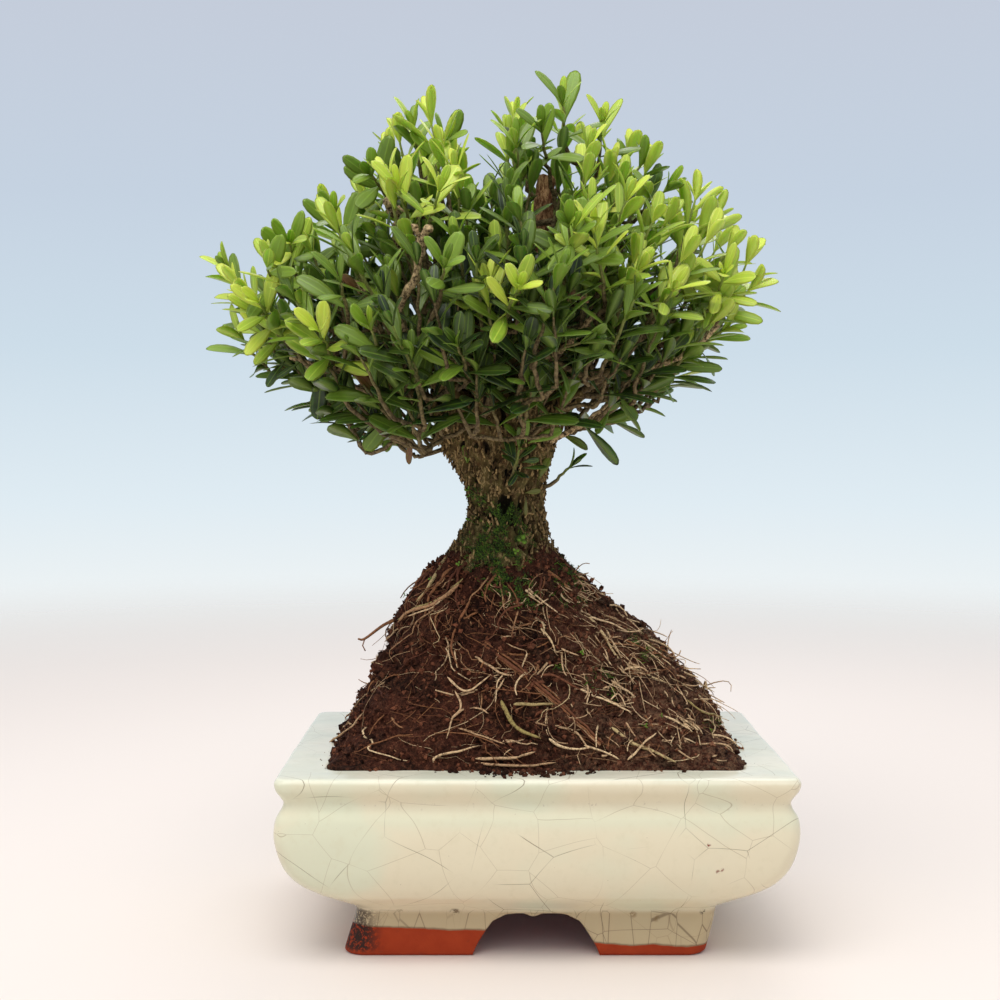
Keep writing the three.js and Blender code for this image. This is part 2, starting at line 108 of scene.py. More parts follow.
# Root ball above the rim, [height, middle along X, half length, half width, squareness]
MOUND = np.array([
    [58, 0, 72.6, 50.2, 16],
    [64.6, 0, 72.8, 50.4, 12],
    [67, 0, 70.4, 48, 6],
    [73, 0, 67.6, 45.6, 3.6],
    [81, -0.6, 64, 42, 3],
    [88.5, -0.6, 58, 38.5, 2.6],
    [96, -1.5, 53, 36, 2.4],
    [103.5, -3, 48.5, 34, 2.2],
    [111, -7, 42.5, 31.5, 2.1],
    [118.4, -11.5, 35, 29.5, 2],
    [124, -12, 30.5, 27.6, 2],
    [127.5, -12, 28, 26.4, 2],
    [131, -12, 24.5, 23.4, 2],
    [135, -11.5, 20, 19.5, 2],
    [139, -11, 15, 15, 2],
])
GROUND_LINE = 127.5

# Trunk, [height, middle along X, radius]
TRUNK = np.array([
    [112, -12, 20],
    [127.5, -12, 24],
    [131.5, -12, 22.4],
    [136, -12, 19.6],
    [141, -12, 16.4],
    [148, -11, 13.6],
    [155, -11, 12.8],
    [162, -11.5, 14],
    [169, -13, 16.8],
    [176, -14, 20.2],
    [183, -13, 22],
    [190, -12, 20.6],
    [196, -12, 14],
])
PRUNED_LEADER = {"start": [-9, 4, 180], "end": [5, 6, 276], "thick": 5.4, "thin": 4}

# Crown, as in the solids
FORK = np.array([-10.0, 0.0, 180.0])
# Top, valley and hollow across the crown, as seen from the front: degrees from +X, spread, rise
CROWN_WAVES = [(78, 12, 6), (95, 6, -26), (128, 13, -10)]
TIERS = [
    {"count": 10, "elevation": 25, "lift": 5, "first": 180, "thick": 4.2, "stems": 2},
    {"count": 7, "elevation": 45, "lift": 0, "first": 200, "thick": 3.8, "stems": 3},
    {"count": 4, "elevation": 71, "lift": 0, "first": 245, "thick": 3.6, "stems": 3},
]
BOUGH_STOP = 53
BOUGH_TIP_RADIUS = 1.5
STEM_SPREAD = math.radians(13)
STEM_LENGTH = 31
STEM_PAIRS = 4
STEM_TURNS = 12
TWIG_RADIUS = 1.3
TWIG_ADVANCE = 3
LIMB_SAMPLES = 14
LIMB_ROOM = 5
STEM_RISE = 0.6
SHOOT_RISE = 0.85
LOWEST_STEM = [0.3, 0.12]
LEAF_OVERHANG = 12
CLEARANCE = 0.3
TRUNK_SHOOTS = [
    {"turn": math.radians(-78), "height": 164, "length": 16, "rise": 0.9, "pairs": 3, "leaf_size": 0.7},
    {"turn": math.radians(-12), "height": 162, "length": 9, "rise": 0.9, "pairs": 1, "leaf_size": 0.6},
]

# Leaf
LEAF_LENGTH = 18
LEAF_WIDTH = 5.2
LEAF_BEND = 0.16
LEAF_PITCH = [56, 17]
LEAF_STATIONS = np.array([0, 0.11, 0.28, 0.47, 0.65, 0.82, 0.94, 1])
LEAF_HALF_WIDTHS = np.array([0.12, 0.19, 0.5, 0.84, 1, 0.92, 0.64, 0.24])
LEAF_THICKNESS = 0.5
TERMINAL_PITCH = 10
TERMINAL_SCALE = 0.72
# Random spread of the one value that gives leaves both their youth and their painted light and shade
UNEVEN_YOUTH_AND_PAINTED_LIGHT = 0.1
DEAD_SHARE = 0.012  # of the darker leaves, mature ones and those painted as shaded, on the far side
DEAD_BEHIND = 20
# From this value on, leaves take the lighter material: young growth and painted light
YOUNG_AND_LIT_FROM = 0.5

# Root ball's and trunk's surfaces
PEAT_COLUMNS = 380
SMALL_CRUMB_SETS = 8
SMALL_CRUMBS = 1450  # in each set
ROUND_CRUMB_SETS = 4
ROUND_CRUMBS = 120
RIM_CRUMBS = 330
STRAW_COUNT = 560
STRAWS_ON_RIGHT = 0.68
WILD_ROOTS = 620
FLARING_ROOTS = 27
FLAKE_COUNT = 2200
MOSS_TRIES = 60000
GOLDEN_ANGLE = 2.399963
SHELL_TRIES = 1100
BARK_VOXEL = 0.85

# Shells of leafy shoots, from the crown's outline inwards
GREEN_SHELLS = [
    {"share": 1, "spacing": 14, "uneven": 0.13},
    {"share": 0.86, "spacing": 13, "uneven": 0.08},
    {"share": 0.7, "spacing": 15, "uneven": 0.06},
    {"share": 0.54, "spacing": 17, "uneven": 0.06},
]

# Where the photograph shows lighter or darker leaves, painted into their colour as young growth and as light
# and shade: middle and spread in pixels, and how much lighter
LIGHT_SPOTS = [
    ((420, 150), (70, 55), 0.75),
    ((350, 215), (60, 40), 0.45),
    ((245, 290), (45, 55), 0.75),
    ((320, 325), (22, 22), 0.4),
    ((560, 120), (75, 45), 0.5),
    ((650, 165), (55, 35), 0.6),
    ((610, 250), (50, 50), 0.5),
    ((700, 220), (35, 45), 0.7),
    ((740, 275), (45, 45), 0.8),
    ((490, 285), (30, 35), 0.4),
    ((680, 310), (40, 30), 0.3),
    ((470, 350), (110, 60), -0.25),
    ((495, 215), (28, 40), -0.35),
    ((455, 265), (28, 45), -0.35),
    ((545, 300), (30, 30), -0.2),
    ((330, 375), (60, 40), -0.15),
    ((570, 380), (80, 40), -0.1),
]

# Outline of the crown in the photograph, in its pixels
CROWN_OUTLINE = [
    (196, 262), (214, 246), (250, 236), (290, 210), (330, 188), (362, 152), (392, 116), (423, 96),
    (455, 116), (482, 150), (500, 118), (530, 100), (560, 74), (604, 96), (650, 136), (700, 170),
    (730, 200), (758, 236), (775, 270), (752, 304), (724, 350), (692, 378), (644, 428), (600, 436),
    (578, 432), (548, 440), (500, 452), (452, 440), (412, 464), (356, 460), (316, 404), (262, 388),
    (226, 332),
]

# Places where the photograph shows wood or sky between the leaves: middle and spread in pixels, and whether
# it is sky, seen through the whole crown
PHOTO_GAPS = [
    ((546, 196), (15, 34), False),
    ((478, 152), (15, 24), True),
    ((256, 262), (9, 30), True),
    ((324, 236), (8, 14), True),
    ((281, 303), (8, 9), True),
    ((316, 311), (5, 9), True),
    ((338, 312), (5, 8), True),
    ((362, 351), (8, 5), True),
    ((351, 376), (8, 8), True),
    ((402, 409), (8, 5), True),
    ((345, 182), (9, 12), True),
    ((577, 172), (5, 15), True),
    ((553, 157), (6, 8), True),
    ((667, 243), (6, 13), True),
    ((717, 246), (5, 11), True),
    ((652, 276), (6, 8), True),
    ((670, 330), (6, 4), True),
    ((592, 398), (11, 12), True),
    ((411, 285), (9, 22), False),
    ((424, 240), (7, 11), False),
    ((388, 318), (17, 7), False),
    ((392, 207), (7, 7), False),
    ((348, 280), (11, 7), False),
]

# Shoots that the photograph shows: pixel of the base, pixel where the last leaves end, and how young and how
# lit their leaves are painted
PHOTO_SHOOTS = [
    ((288, 356), (216, 252), 0.75),
    ((292, 352), (252, 292), 1),
    ((270, 372), (228, 322), 0.55),
    ((336, 371), (314, 318), 1),
    ((298, 291), (288, 232), 0.6),
    ((282, 300), (264, 262), 0.45),
    ((348, 262), (330, 196), 0.45),
    ((392, 205), (366, 166), 0.35),
    ((418, 160), (410, 104), 0.65),
    ((440, 165), (450, 124), 0.55),
    ((412, 231), (392, 168), 1),
    ((428, 231), (446, 168), 1),
    ((519, 181), (514, 122), 0.6),
    ((548, 170), (538, 112), 0.4),
    ((566, 149), (561, 80), 0.55),
    ((598, 160), (605, 101), 0.6),
    ((623, 207), (650, 142), 0.5),
    ((640, 215), (680, 176), 0.45),
    ((672, 276), (702, 178), 1),
    ((676, 280), (724, 204), 0.9),
    ((724, 314), (757, 240), 1),
    ((716, 322), (768, 272), 0.95),
    ((712, 318), (728, 262), 1),
    ((652, 322), (684, 272), 0.9),
    ((605, 303), (590, 206), 1),
    ((610, 303), (654, 250), 0.9),
    ((574, 262), (566, 212), 0.45),
    ((491, 339), (487, 258), 0.95),
    ((500, 332), (524, 274), 0.8),
    ((384, 362), (364, 312), 0.5),
    ((440, 300), (446, 250), 0.3),
    ((350, 320), (336, 262), 0.35),
    ((560, 350), (606, 334), 0.25),
    ((690, 352), (742, 318), 0.7),
    ((660, 372), (702, 350), 0.4),
    ((608, 400), (668, 388), 0.3),
    ((583, 424), (636, 420), 0.3),
    ((470, 380), (452, 330), 0.25),
]

# Twigs seen between the leaves: whether it starts at a bough, the depths of the two ends, the radii there,
# and pixels along it
PHOTO_TWIGS = [
    (True, -12, -26, 1.7, 0.7, [
        (460, 439), (449, 429), (416, 407), (366, 394), (336, 373), (313, 363), (290, 358),
    ]),
    (False, -17, -18, 0.35, 0.25, [(414, 407), (413, 422), (412, 439)]),
    (True, -46, -68, 1.8, 1.2, [(432, 353), (399, 326), (402, 301), (416, 276), (422, 238), (430, 229)]),
    (False, -62, -66, 1.1, 0.8, [(422, 244), (418, 233), (414, 226)]),
    (False, -50, -52, 1.7, 1.4, [(399, 326), (382, 314), (364, 311)]),
    (True, -40, -44, 1.5, 1.7, [(362, 292), (352, 285), (342, 277)]),
    (True, -30, -33, 1.9, 2.1, [(400, 222), (394, 212), (389, 202)]),
    (True, -30, -60, 1.6, 0.8, [(522, 372), (554, 354), (576, 336), (594, 315)]),
    (True, -14, -30, 1.8, 0.7, [(583, 390), (611, 377), (654, 367), (685, 354), (719, 326)]),
    (False, -9, -24, 1.5, 0.6, [(546, 441), (565, 433), (583, 424), (619, 397)]),
]

# Single leaves under the crown and on the trunk: pixels of root and tip, depth, dryness and lightness
PHOTO_LEAVES = [
    ((322, 370), (316, 427), -22, 0, 0),
    ((285, 361), (263, 387), -25, 0, 0.1),
    ((300, 362), (276, 378), -27, 0, 0.1),
    ((359, 394), (323, 412), -19.5, 0, 0.2),
    ((366, 394), (352, 420), -19, 0, 0.1),
    ((389, 406), (355, 423), -18, 0, 0.2),
    ((394, 412), (360, 456), -18, 0, 0.6),
    ((402, 410), (382, 458), -17.5, 0, 0.5),
    ((410, 408), (404, 440), -17, 0, 0.1),
    ((412, 438), (407, 460), -18, 1, 0),
    ((432, 420), (418, 440), -15.5, 0, 0.5),
    ((347, 364), (376, 387), -44, 1, 0),
    ((336, 272), (360, 287), -45, 1, 0),
    ((488, 383), (508, 377), -52, 1, 0),
    ((566, 292), (590, 298), -66, 1, 0),
    ((619, 397), (640, 424), -24, 0, 0.5),
    ((612, 402), (595, 433), -22, 0, 0.3),
    ((560, 434), (592, 446), -12.5, 0.2, 0.3),
    ((467, 463), (479, 443), -15, 0, 0.7),
    ((467, 463), (463, 442), -15, 0.1, 0.7),
    ((525, 444), (503, 420), -30, 0, 0.6),
    ((526, 443), (528, 414), -31, 0, 1),
    ((528, 443), (568, 426), -30, 0, 0.7),
    ((520, 467), (503, 454), -22, 0, 0.1),
    ((523, 468), (545, 466), -22, 0, 0.15),
    ((520, 469), (508, 486), -22, 0, 0),
    ((522, 462), (541, 459), -23, 0, 0.1),
    ((538, 480), (549, 455), -9, 0.3, 0.5),
    ((525, 493), (543, 490), -12.5, 0.4, 0.4),
    ((526, 497), (525, 513), -12.5, 0.4, 0.3),
    ((564, 474), (581, 452), -5, 0, 0.3),
]


# Numbers and shapes


def smoothstep(value, low, high):
    share = np.clip((value - low) / (high - low), 0, 1)
    return share * share * (3 - 2 * share)


def srgb(red, green, blue):
    """The linear colour that materials take, from one as a screen shows it, from 0 to 255."""
    shares = (red / 255, green / 255, blue / 255)
    return tuple(share / 12.92 if share <= 0.04 else ((share + 0.055) / 1.055) ** 2.4 for share in shares)


def unit(vectors):
    vectors = np.asarray(vectors, float)
    return vectors / np.maximum(np.linalg.norm(vectors, axis=-1, keepdims=True), 1e-12)


def seeded(seed):
    """The repeatable draw of numbers from 0 to 1 that the solids were made with."""
    state = seed

    def draw():
        nonlocal state
        state = (state * 1664525 + 1013904223) % 2**32
        return state / 2**32

    return draw


LATTICE = np.random.RandomState(7)
SHUFFLE = LATTICE.permutation(256)
GRADIENTS = unit(LATTICE.normal(size=(256, 3)))


def gradient_noise(points):
    """Smooth noise, from about -1 to 1, whose features are one unit wide."""
    cell = np.floor(points).astype(int)
    part = points - cell
    fade = part**3 * (part * (part * 6 - 15) + 10)
    total = np.zeros(points.shape[:-1])
    for corner in itertools.product((0, 1), repeat=3):
        at = (cell + corner) & 255
        index = SHUFFLE[(SHUFFLE[(SHUFFLE[at[..., 0]] + at[..., 1]) & 255] + at[..., 2]) & 255]
        slope = (GRADIENTS[index] * (part - corner)).sum(-1)
        total += slope * np.where(corner, fade, 1 - fade).prod(-1)
    return 1.6 * total


def fractal(points, size, octaves=3, offset=0.0):
    """Noise with features of a size in millimetres, and finer ones on them."""
    scaled = np.asarray(points, float) / size + offset
    return sum(0.5**k * gradient_noise(scaled * 2**k + 17.3 * k) for k in range(octaves))


def bezier(a, b, c, share):
    share = np.asarray(share, float)[..., None]
    return (1 - share) ** 2 * a + 2 * share * (1 - share) * b + share**2 * c


def spline(points, count):
    """A smooth curve through points, as that many points evenly spaced by their number."""
    points = np.asarray(points, float)
    padded = np.vstack([2 * points[0] - points[1], points, 2 * points[-1] - points[-2]])
    at = np.linspace(0, len(points) - 1, count)
    first = np.minimum(at.astype(int), len(points) - 2)
    t = (at - first)[:, None]
    p0, p1, p2, p3 = (padded[first + k] for k in range(4))
    return 0.5 * (
        2 * p1 + (p2 - p0) * t + (2 * p0 - 5 * p1 + 4 * p2 - p3) * t**2 + (3 * p1 - p0 - 3 * p2 + p3) * t**3
    )


AHEAD = np.array([0, math.cos(CAMERA_PITCH), -math.sin(CAMERA_PITCH)])
ABOVE = np.array([0, math.sin(CAMERA_PITCH), math.cos(CAMERA_PITCH)])
RIGHT = np.array([1.0, 0, 0])


def sight_line(pixel):
    """The direction in which the camera saw a pixel of the photograph."""
    across = (pixel[0] - PHOTO_SIDE / 2) / PHOTO_FOCAL
    rise = (PHOTO_SIDE / 2 - pixel[1]) / PHOTO_FOCAL
    return AHEAD + rise * ABOVE + across * RIGHT


def at_depth(pixel, depth):
    """The point with Y = depth that the camera saw at a pixel."""
    line = sight_line(pixel)
    return CAMERA_PLACE + line * (depth - CAMERA_PLACE[1]) / line[1]


def on_level(pixel, height):
    """The point at a height that the camera saw at a pixel."""
    line = sight_line(pixel)
    return CAMERA_PLACE + line * (height - CAMERA_PLACE[2]) / line[2]


def seen_at(points):
    """Pixels of the photograph at which points lie."""
    away = np.asarray(points, float) - CAMERA_PLACE
    scale = PHOTO_FOCAL / (away @ AHEAD)
    half = PHOTO_SIDE / 2
    return np.stack([half + scale * (away @ RIGHT), half - scale * (away @ ABOVE)], -1)


def within(pixels, outline):
    """Whether pixels lie inside an outline."""
    x, y = pixels[..., 0], pixels[..., 1]
    inside = np.zeros(x.shape, bool)
    for (x0, y0), (x1, y1) in zip(outline, outline[1:] + outline[:1]):
        if y0 != y1:
            inside ^= ((y0 > y) != (y1 > y)) & (x < (x1 - x0) * (y - y0) / (y1 - y0) + x0)
    return inside


def spot(pixels, centre, spread):
    """A soft round patch in the photograph: 1 at its centre, fading out over spread."""
    gap = (pixels - np.array(centre, float)) / np.array(spread, float)
    return np.exp(-(gap**2).sum(-1))


def grid_faces(rows, columns):
    """Quads of a grid of points, row by row, its columns closed in a ring."""
    row, column = np.meshgrid(np.arange(rows - 1), np.arange(columns), indexing="ij")
    a = row * columns + column
    b = row * columns + (column + 1) % columns
    return np.stack([a, b, b + columns, a + columns], -1).reshape(-1, 4)


def grid_normals(grid):
    """Outward unit normals of a grid [row, column, 3] whose columns run anticlockwise in a ring."""
    along = np.roll(grid, -1, axis=1) - np.roll(grid, 1, axis=1)
    rise = np.gradient(grid, axis=0)
    return unit(np.cross(along, rise))


def closed_skin(grid, first_end, last_end):
    """Points and faces of rings [row, column, 3], of which the first and the last close on a point each."""
    rows, columns = grid.shape[:2]
    ring = np.arange(columns)
    following = (ring + 1) % columns
    top = (rows - 1) * columns
    ends = rows * columns
    first_cap = np.stack([following, ring, np.full(columns, ends)], -1)
    last_cap = np.stack([top + ring, top + following, np.full(columns, ends + 1)], -1)
    points = np.vstack([grid.reshape(-1, 3), [first_end, last_end]])
    return points, [grid_faces(rows, columns), np.vstack([first_cap, last_cap])]


def wobble(points, size, step, first=0.0):
    """Noise in three directions for the points of a line, each from its own part of the noise."""
    return np.stack([fractal(points, size, 2, step * k + first) for k in range(3)], -1)


def patches(pixels, spots):
    """The sum of soft patches in the photograph, from rows of middle, spread and strength."""
    return sum(strength * spot(pixels, middle, spread) for middle, spread, strength in spots)


class Soup:
    """Many small closed shapes that become one mesh, with values for its points."""

    def __init__(self):
        self.points = []
        self.faces = []
        self.values = {}
        self.count = 0

    def add(self, points, faces, **values):
        points = np.asarray(points, float).reshape(-1, 3)
        self.points.append(points)
        self.faces += [face_set + self.count for face_set in faces]
        self.count += len(points)
        for name, value in values.items():
            value = np.asarray(value, float).ravel()
            self.values.setdefault(name, []).append(np.broadcast_to(value, (len(points),)))

    def scatter(self, template, origins, axes, **values):
        """Adds a copy of template = (points, faces) at each origin, turned to its axes [copy, axis, 3]."""
        shape, faces = template
        points = np.einsum("ki,nij->nkj", shape, axes) + origins[:, None, :]
        shift = len(shape) * np.arange(len(origins))
        spread = [(f[None] + shift[:, None, None]).reshape(-1, f.shape[1]) for f in faces]
        each = {name: np.repeat(value, len(shape)) for name, value in values.items()}
        self.add(points, spread, **each)

    def mesh(self, name, smooth=True):
        return make_mesh(name, np.concatenate(self.points), self.faces, smooth, {
            key: np.concatenate(value) for key, value in self.values.items()
        })


def make_mesh(name, points, faces, smooth=True, values=()):
    mesh = bpy.data.meshes.new(name)
    mesh.vertices.add(len(points))
    mesh.vertices.foreach_set("co", (points * MM + POT_CENTRE).astype(np.float32).ravel())
    corners = np.concatenate([f.ravel() for f in faces])
    sizes = np.concatenate([np.full(len(f), f.shape[1]) for f in faces])
    mesh.loops.add(len(corners))
    mesh.loops.foreach_set("vertex_index", corners.astype(np.int32))
    mesh.polygons.add(len(sizes))
    starts = np.concatenate([[0], np.cumsum(sizes)[:-1]])
    mesh.polygons.foreach_set("loop_start", starts.astype(np.int32))
    mesh.polygons.foreach_set("use_smooth", np.full(len(sizes), smooth))
    mesh.update(calc_edges=True)
    hold(mesh, dict(values))
    return mesh


def hold(mesh, values):
    """Gives a mesh values for its points, by name."""
    for key, value in values.items():
        attribute = mesh.attributes.new(key, "FLOAT", "POINT")
        attribute.data.foreach_set("value", np.asarray(value, np.float32))


def in_scene(name, data):
    """An object of the scene that shows a mesh, a lamp or a camera."""
    thing = bpy.data.objects.new(name, data)
    bpy.context.scene.collection.objects.link(thing)
    return thing


def add_piece(mesh, material, replaces=()):
    """An object of the part from a finished mesh."""
    piece = in_scene(mesh.name, mesh)
    mesh.materials.clear()
    mesh.materials.append(material)
    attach(piece, "root")
    if replaces:
        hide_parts(*replaces)
    return piece


def tube(points, radii, sides):
    """Points and faces of a closed round limb along a curve."""
    points = np.asarray(points, float)
    radii = np.broadcast_to(np.asarray(radii, float), (len(points),))
    tangents = unit(np.gradient(points, axis=0))
    side = unit(np.cross(tangents[0], np.eye(3)[np.abs(tangents[0]).argmin()]))
    turns = np.arange(sides) / sides * FULL_TURN
    rings = []
    for point, tangent, radius in zip(points, tangents, radii):
        side = unit(side - tangent * side.dot(tangent))
        other = np.cross(tangent, side)
        rings.append(point + radius * (np.outer(np.cos(turns), side) + np.outer(np.sin(turns), other)))
    first_end = points[0] - tangents[0] * radii[0] * 0.3
    last_end = points[-1] + tangents[-1] * radii[-1] * 0.5
    return closed_skin(np.array(rings), first_end, last_end)


# Materials


def fill_ramp(ramp, stops):
    """Gives a colour ramp its stops, as rows of position and colour."""
    while len(ramp.elements) < len(stops):
        ramp.elements.new(0.5)
    for element, (at, color) in zip(ramp.elements, stops):
        element.position = at
        element.color = (*color, 1)


class Look:
    """A material and short ways to add its nodes. Inputs are numbers, colours or other nodes' outputs."""

    def __init__(self, name):
        self.material = bpy.data.materials.new(name)
        self.material.use_nodes = True
        self.tree = self.material.node_tree
        self.shader = self.tree.nodes["Principled BSDF"]
        self.place = self.add("ShaderNodeTexCoord").outputs["Object"]

    def add(self, kind, inputs=(), **settings):
        node = self.tree.nodes.new(kind)
        for key, value in settings.items():
            setattr(node, key, value)
        self.feed(node, dict(inputs))
        return node

    def feed(self, node, inputs):
        for key, value in inputs.items():
            socket = node.inputs[key]
            if isinstance(value, bpy.types.NodeSocket):
                self.tree.links.new(value, socket)
            elif isinstance(value, tuple) and len(value) == 3 and socket.type == "RGBA":
                socket.default_value = (*value, 1)
            else:
                socket.default_value = value

    def value(self, name):
        """A value that the mesh holds for its points."""
        return self.add("ShaderNodeAttribute", attribute_name=name).outputs["Fac"]

    def noise(self, size, detail=3.0, roughness=0.55, place=None):
        """Noise from 0 to 1 with features of a size in millimetres."""
        node = self.add("ShaderNodeTexNoise", {
            "Vector": place or self.place,
            "Scale": 1 / (size * MM),
            "Detail": detail,
            "Roughness": roughness,
        })
        return node.outputs["Fac"]

    def math(self, operation, a, b=0.0):
        return self.add("ShaderNodeMath", {0: a, 1: b}, operation=operation).outputs[0]

    def step(self, value, low, high, start=0.0, stop=1.0):
        """start below low, stop above high, and a smooth change between."""
        return self.add("ShaderNodeMapRange", {
            "Value": value,
            "From Min": low,
            "From Max": high,
            "To Min": start,
            "To Max": stop,
        }, interpolation_type="SMOOTHSTEP").outputs["Result"]

    def mix(self, share, a, b):
        node = self.add("ShaderNodeMix", data_type="RGBA")
        self.feed(node, {"Factor": share, 6: a, 7: b})
        return node.outputs[2]

    def bump(self, height, distance, strength=1.0):
        """A bump of a depth in millimetres."""
        inputs = {"Height": height, "Distance": distance * MM, "Strength": strength}
        return self.add("ShaderNodeBump", inputs).outputs["Normal"]

    def vector(self, operation, a, b):
        """The node that works on two vectors, or on one and a number if the operation is SCALE."""
        return self.add("ShaderNodeVectorMath", {0: a, "Scale" if operation == "SCALE" else 1: b},
                        operation=operation)

    def over_pot(self):
        """How far to the right of the pot's centre the surface is, and how high, in metres."""
        split = self.add("ShaderNodeSeparateXYZ", {"Vector": self.place})
        return self.math("SUBTRACT", split.outputs["X"], float(POT_CENTRE[0])), split.outputs["Z"]

    def finish(self, **inputs):
        """Sets the shader's inputs, named as its sockets are with _ for a space."""
        self.feed(self.shader, {key.replace("_", " "): value for key, value in inputs.items()})
        return self.material


# Stains and specks on the pot's front in the photograph: pixel, radius in millimetres, strength and colour
POT_STAINS = [
    ((345, 910), 2.6, 0.9, srgb(60, 44, 30)),
    ((455, 911), 2.4, 0.8, srgb(70, 50, 30)),
    ((400, 910), 1.6, 0.6, srgb(110, 90, 60)),
    ((709, 845), 0.9, 1.0, srgb(128, 60, 48)),
    ((722, 870), 1.0, 0.9, srgb(128, 70, 56)),
    ((718, 872), 1.0, 0.9, srgb(128, 70, 56)),
    ((633, 914), 1.8, 0.6, srgb(120, 92, 54)),
    ((656, 918), 1.8, 0.6, srgb(120, 92, 54)),
    ((703, 912), 1.6, 0.9, srgb(50, 40, 30)),
]


def on_pot_front(pixel):
    """Where the camera's line through a pixel meets the pot's front, below the rim."""
    table = np.array(POT_OUTSIDE, float)
    depths = np.linspace(-66, -46, 200)
    points = np.array([at_depth(pixel, depth) for depth in depths])
    inside = -np.interp(points[:, 2], table[:, 0], table[:, 2]) < depths
    return points[inside.argmax()]


def glaze_look():
    look = Look("celadon_glaze")
    # Where the glaze stops on the feet: higher on the left foot than on the right
    across, height = look.over_pot()
    stop = look.step(across, -0.03, 0.03, 0.0088, 0.0046)
    slant = look.math("MULTIPLY", across, -0.022)
    sway = look.math("MULTIPLY", look.math("SUBTRACT", look.noise(14), 0.5), 0.003)
    border = look.math("ADD", look.math("ADD", stop, slant), sway)
    above = look.math("SUBTRACT", height, border)
    bare_foot = look.step(above, -0.00012, 0.00012, 1, 0)
    bare = look.math("MAXIMUM", bare_foot, look.step(look.value("inside"), 0.4, 0.6))
    glaze_end = look.step(above, 0.0001, 0.0009, 1, 0)
    edge_line = look.math("MULTIPLY", glaze_end, look.step(above, -0.0002, 0.0001))

    mint = look.math("MAXIMUM", look.step(look.noise(42, 2), 0.52, 0.7), look.value("thick"))
    cream = look.mix(look.math("MULTIPLY", mint, 0.5), srgb(223, 211, 182), srgb(206, 216, 190))
    # Paler glaze on the rim's top and along its lip: partly thinner glaze, partly painted light on the rim's
    # top and a painted highlight on the lip
    thin_glaze_and_painted_light = look.mix(look.step(look.noise(30, 2), 0.4, 0.62), srgb(224, 224, 205), srgb(238, 232, 213))
    pale = look.mix(look.value("thin"), cream, thin_glaze_and_painted_light)
    cloud = look.mix(look.step(look.noise(3.2, 4, 0.6), 0.5, 0.72, 0, 0.16), pale, srgb(204, 192, 158))
    # Browner, darker patches along the groove under the rim and at the foot
    groove_darkening = look.math("MULTIPLY", look.value("groove"), look.step(look.noise(2.2, 4, 0.7), 0.6, 0.7, 0, 0.4))
    groove_darkened = look.mix(groove_darkening, cloud, srgb(150, 122, 104))
    foot = look.step(height, 0.0145, 0.0175, 0.85, 0)
    shaded = look.mix(foot, groove_darkened, srgb(182, 160, 122))

    def bent(scale, reach_of_bend):
        """The place, swayed in long smooth curves."""
        warp = look.add("ShaderNodeTexNoise", {"Vector": look.place, "Scale": scale, "Detail": 1.0})
        shift = look.vector("SCALE", warp.outputs["Color"], reach_of_bend)
        return look.vector("ADD", look.place, shift.outputs[0]).outputs[0]

    def cracks(place, scale, width, low, high, lean):
        leaning = look.add("ShaderNodeMapping", {"Vector": place, "Rotation": (lean, 0.4, lean)}).outputs[0]
        cells = look.add("ShaderNodeTexVoronoi", {"Vector": leaning, "Scale": scale, "Randomness": 1.0},
                         feature="DISTANCE_TO_EDGE")
        line = look.step(cells.outputs["Distance"], 0.3 * width * scale, width * scale, 1, 0)
        return look.math("MULTIPLY", line, look.step(look.noise(24, 2), low, high))

    major = cracks(bent(14.0, 0.016), 34.0, 0.00013, 0.4, 0.56, 0.3)
    minor = cracks(bent(18.0, 0.014), 52.0, 0.0001, 0.3, 0.5, 1.1)
    upright = look.vector("MULTIPLY", look.place, (1, 1, 0.2)).outputs[0]
    on_foot = look.math("MULTIPLY", cracks(upright, 120.0, 0.00013, 0.3, 0.5, 0.2), foot)
    cracked = look.mix(look.math("MULTIPLY", minor, 0.5), shaded, srgb(158, 136, 104))
    cracked = look.mix(look.math("MULTIPLY", major, 0.75), cracked, srgb(122, 104, 80))
    cracked = look.mix(look.math("MULTIPLY", on_foot, 0.7), cracked, srgb(96, 76, 54))

    def specks(scale, share, radius, turn_of_draw):
        """Small round spots in a share of the cells of a pattern."""
        dots = look.add("ShaderNodeTexVoronoi", {"Vector": look.place, "Scale": scale, "Randomness": 1.0})
        drawn = look.math("FRACT", look.math("MULTIPLY", dots.outputs["Color"], turn_of_draw))
        chosen = look.step(drawn, 1 - share - 0.01, 1 - share + 0.01)
        size = radius * scale
        dot = look.step(dots.outputs["Distance"], 0.6 * size, 1.1 * size, 1, 0)
        return look.math("MULTIPLY", dot, chosen)

    pit = specks(130.0, 0.07, 0.00042, 7.3)
    dust = specks(420.0, 0.16, 0.00016, 5.1)
    pitted = look.mix(look.math("MULTIPLY", dust, 0.5), cracked, srgb(140, 116, 84))
    pitted = look.mix(look.math("MULTIPLY", pit, 0.8), pitted, srgb(112, 76, 64))
    for middle, radius, strength, stain_color in POT_STAINS:
        point = tuple(on_pot_front(middle) * MM + POT_CENTRE)
        away = look.vector("DISTANCE", look.place, point).outputs["Value"]
        blot = look.step(away, 0.3 * radius * MM, radius * MM, strength, 0)
        patchy = look.math("MULTIPLY", blot, look.step(look.noise(1.2, 4, 0.7), 0.42, 0.56))
        pitted = look.mix(patchy, pitted, stain_color)
    glazed = look.mix(look.math("MULTIPLY", edge_line, 0.8), pitted, srgb(112, 78, 52))

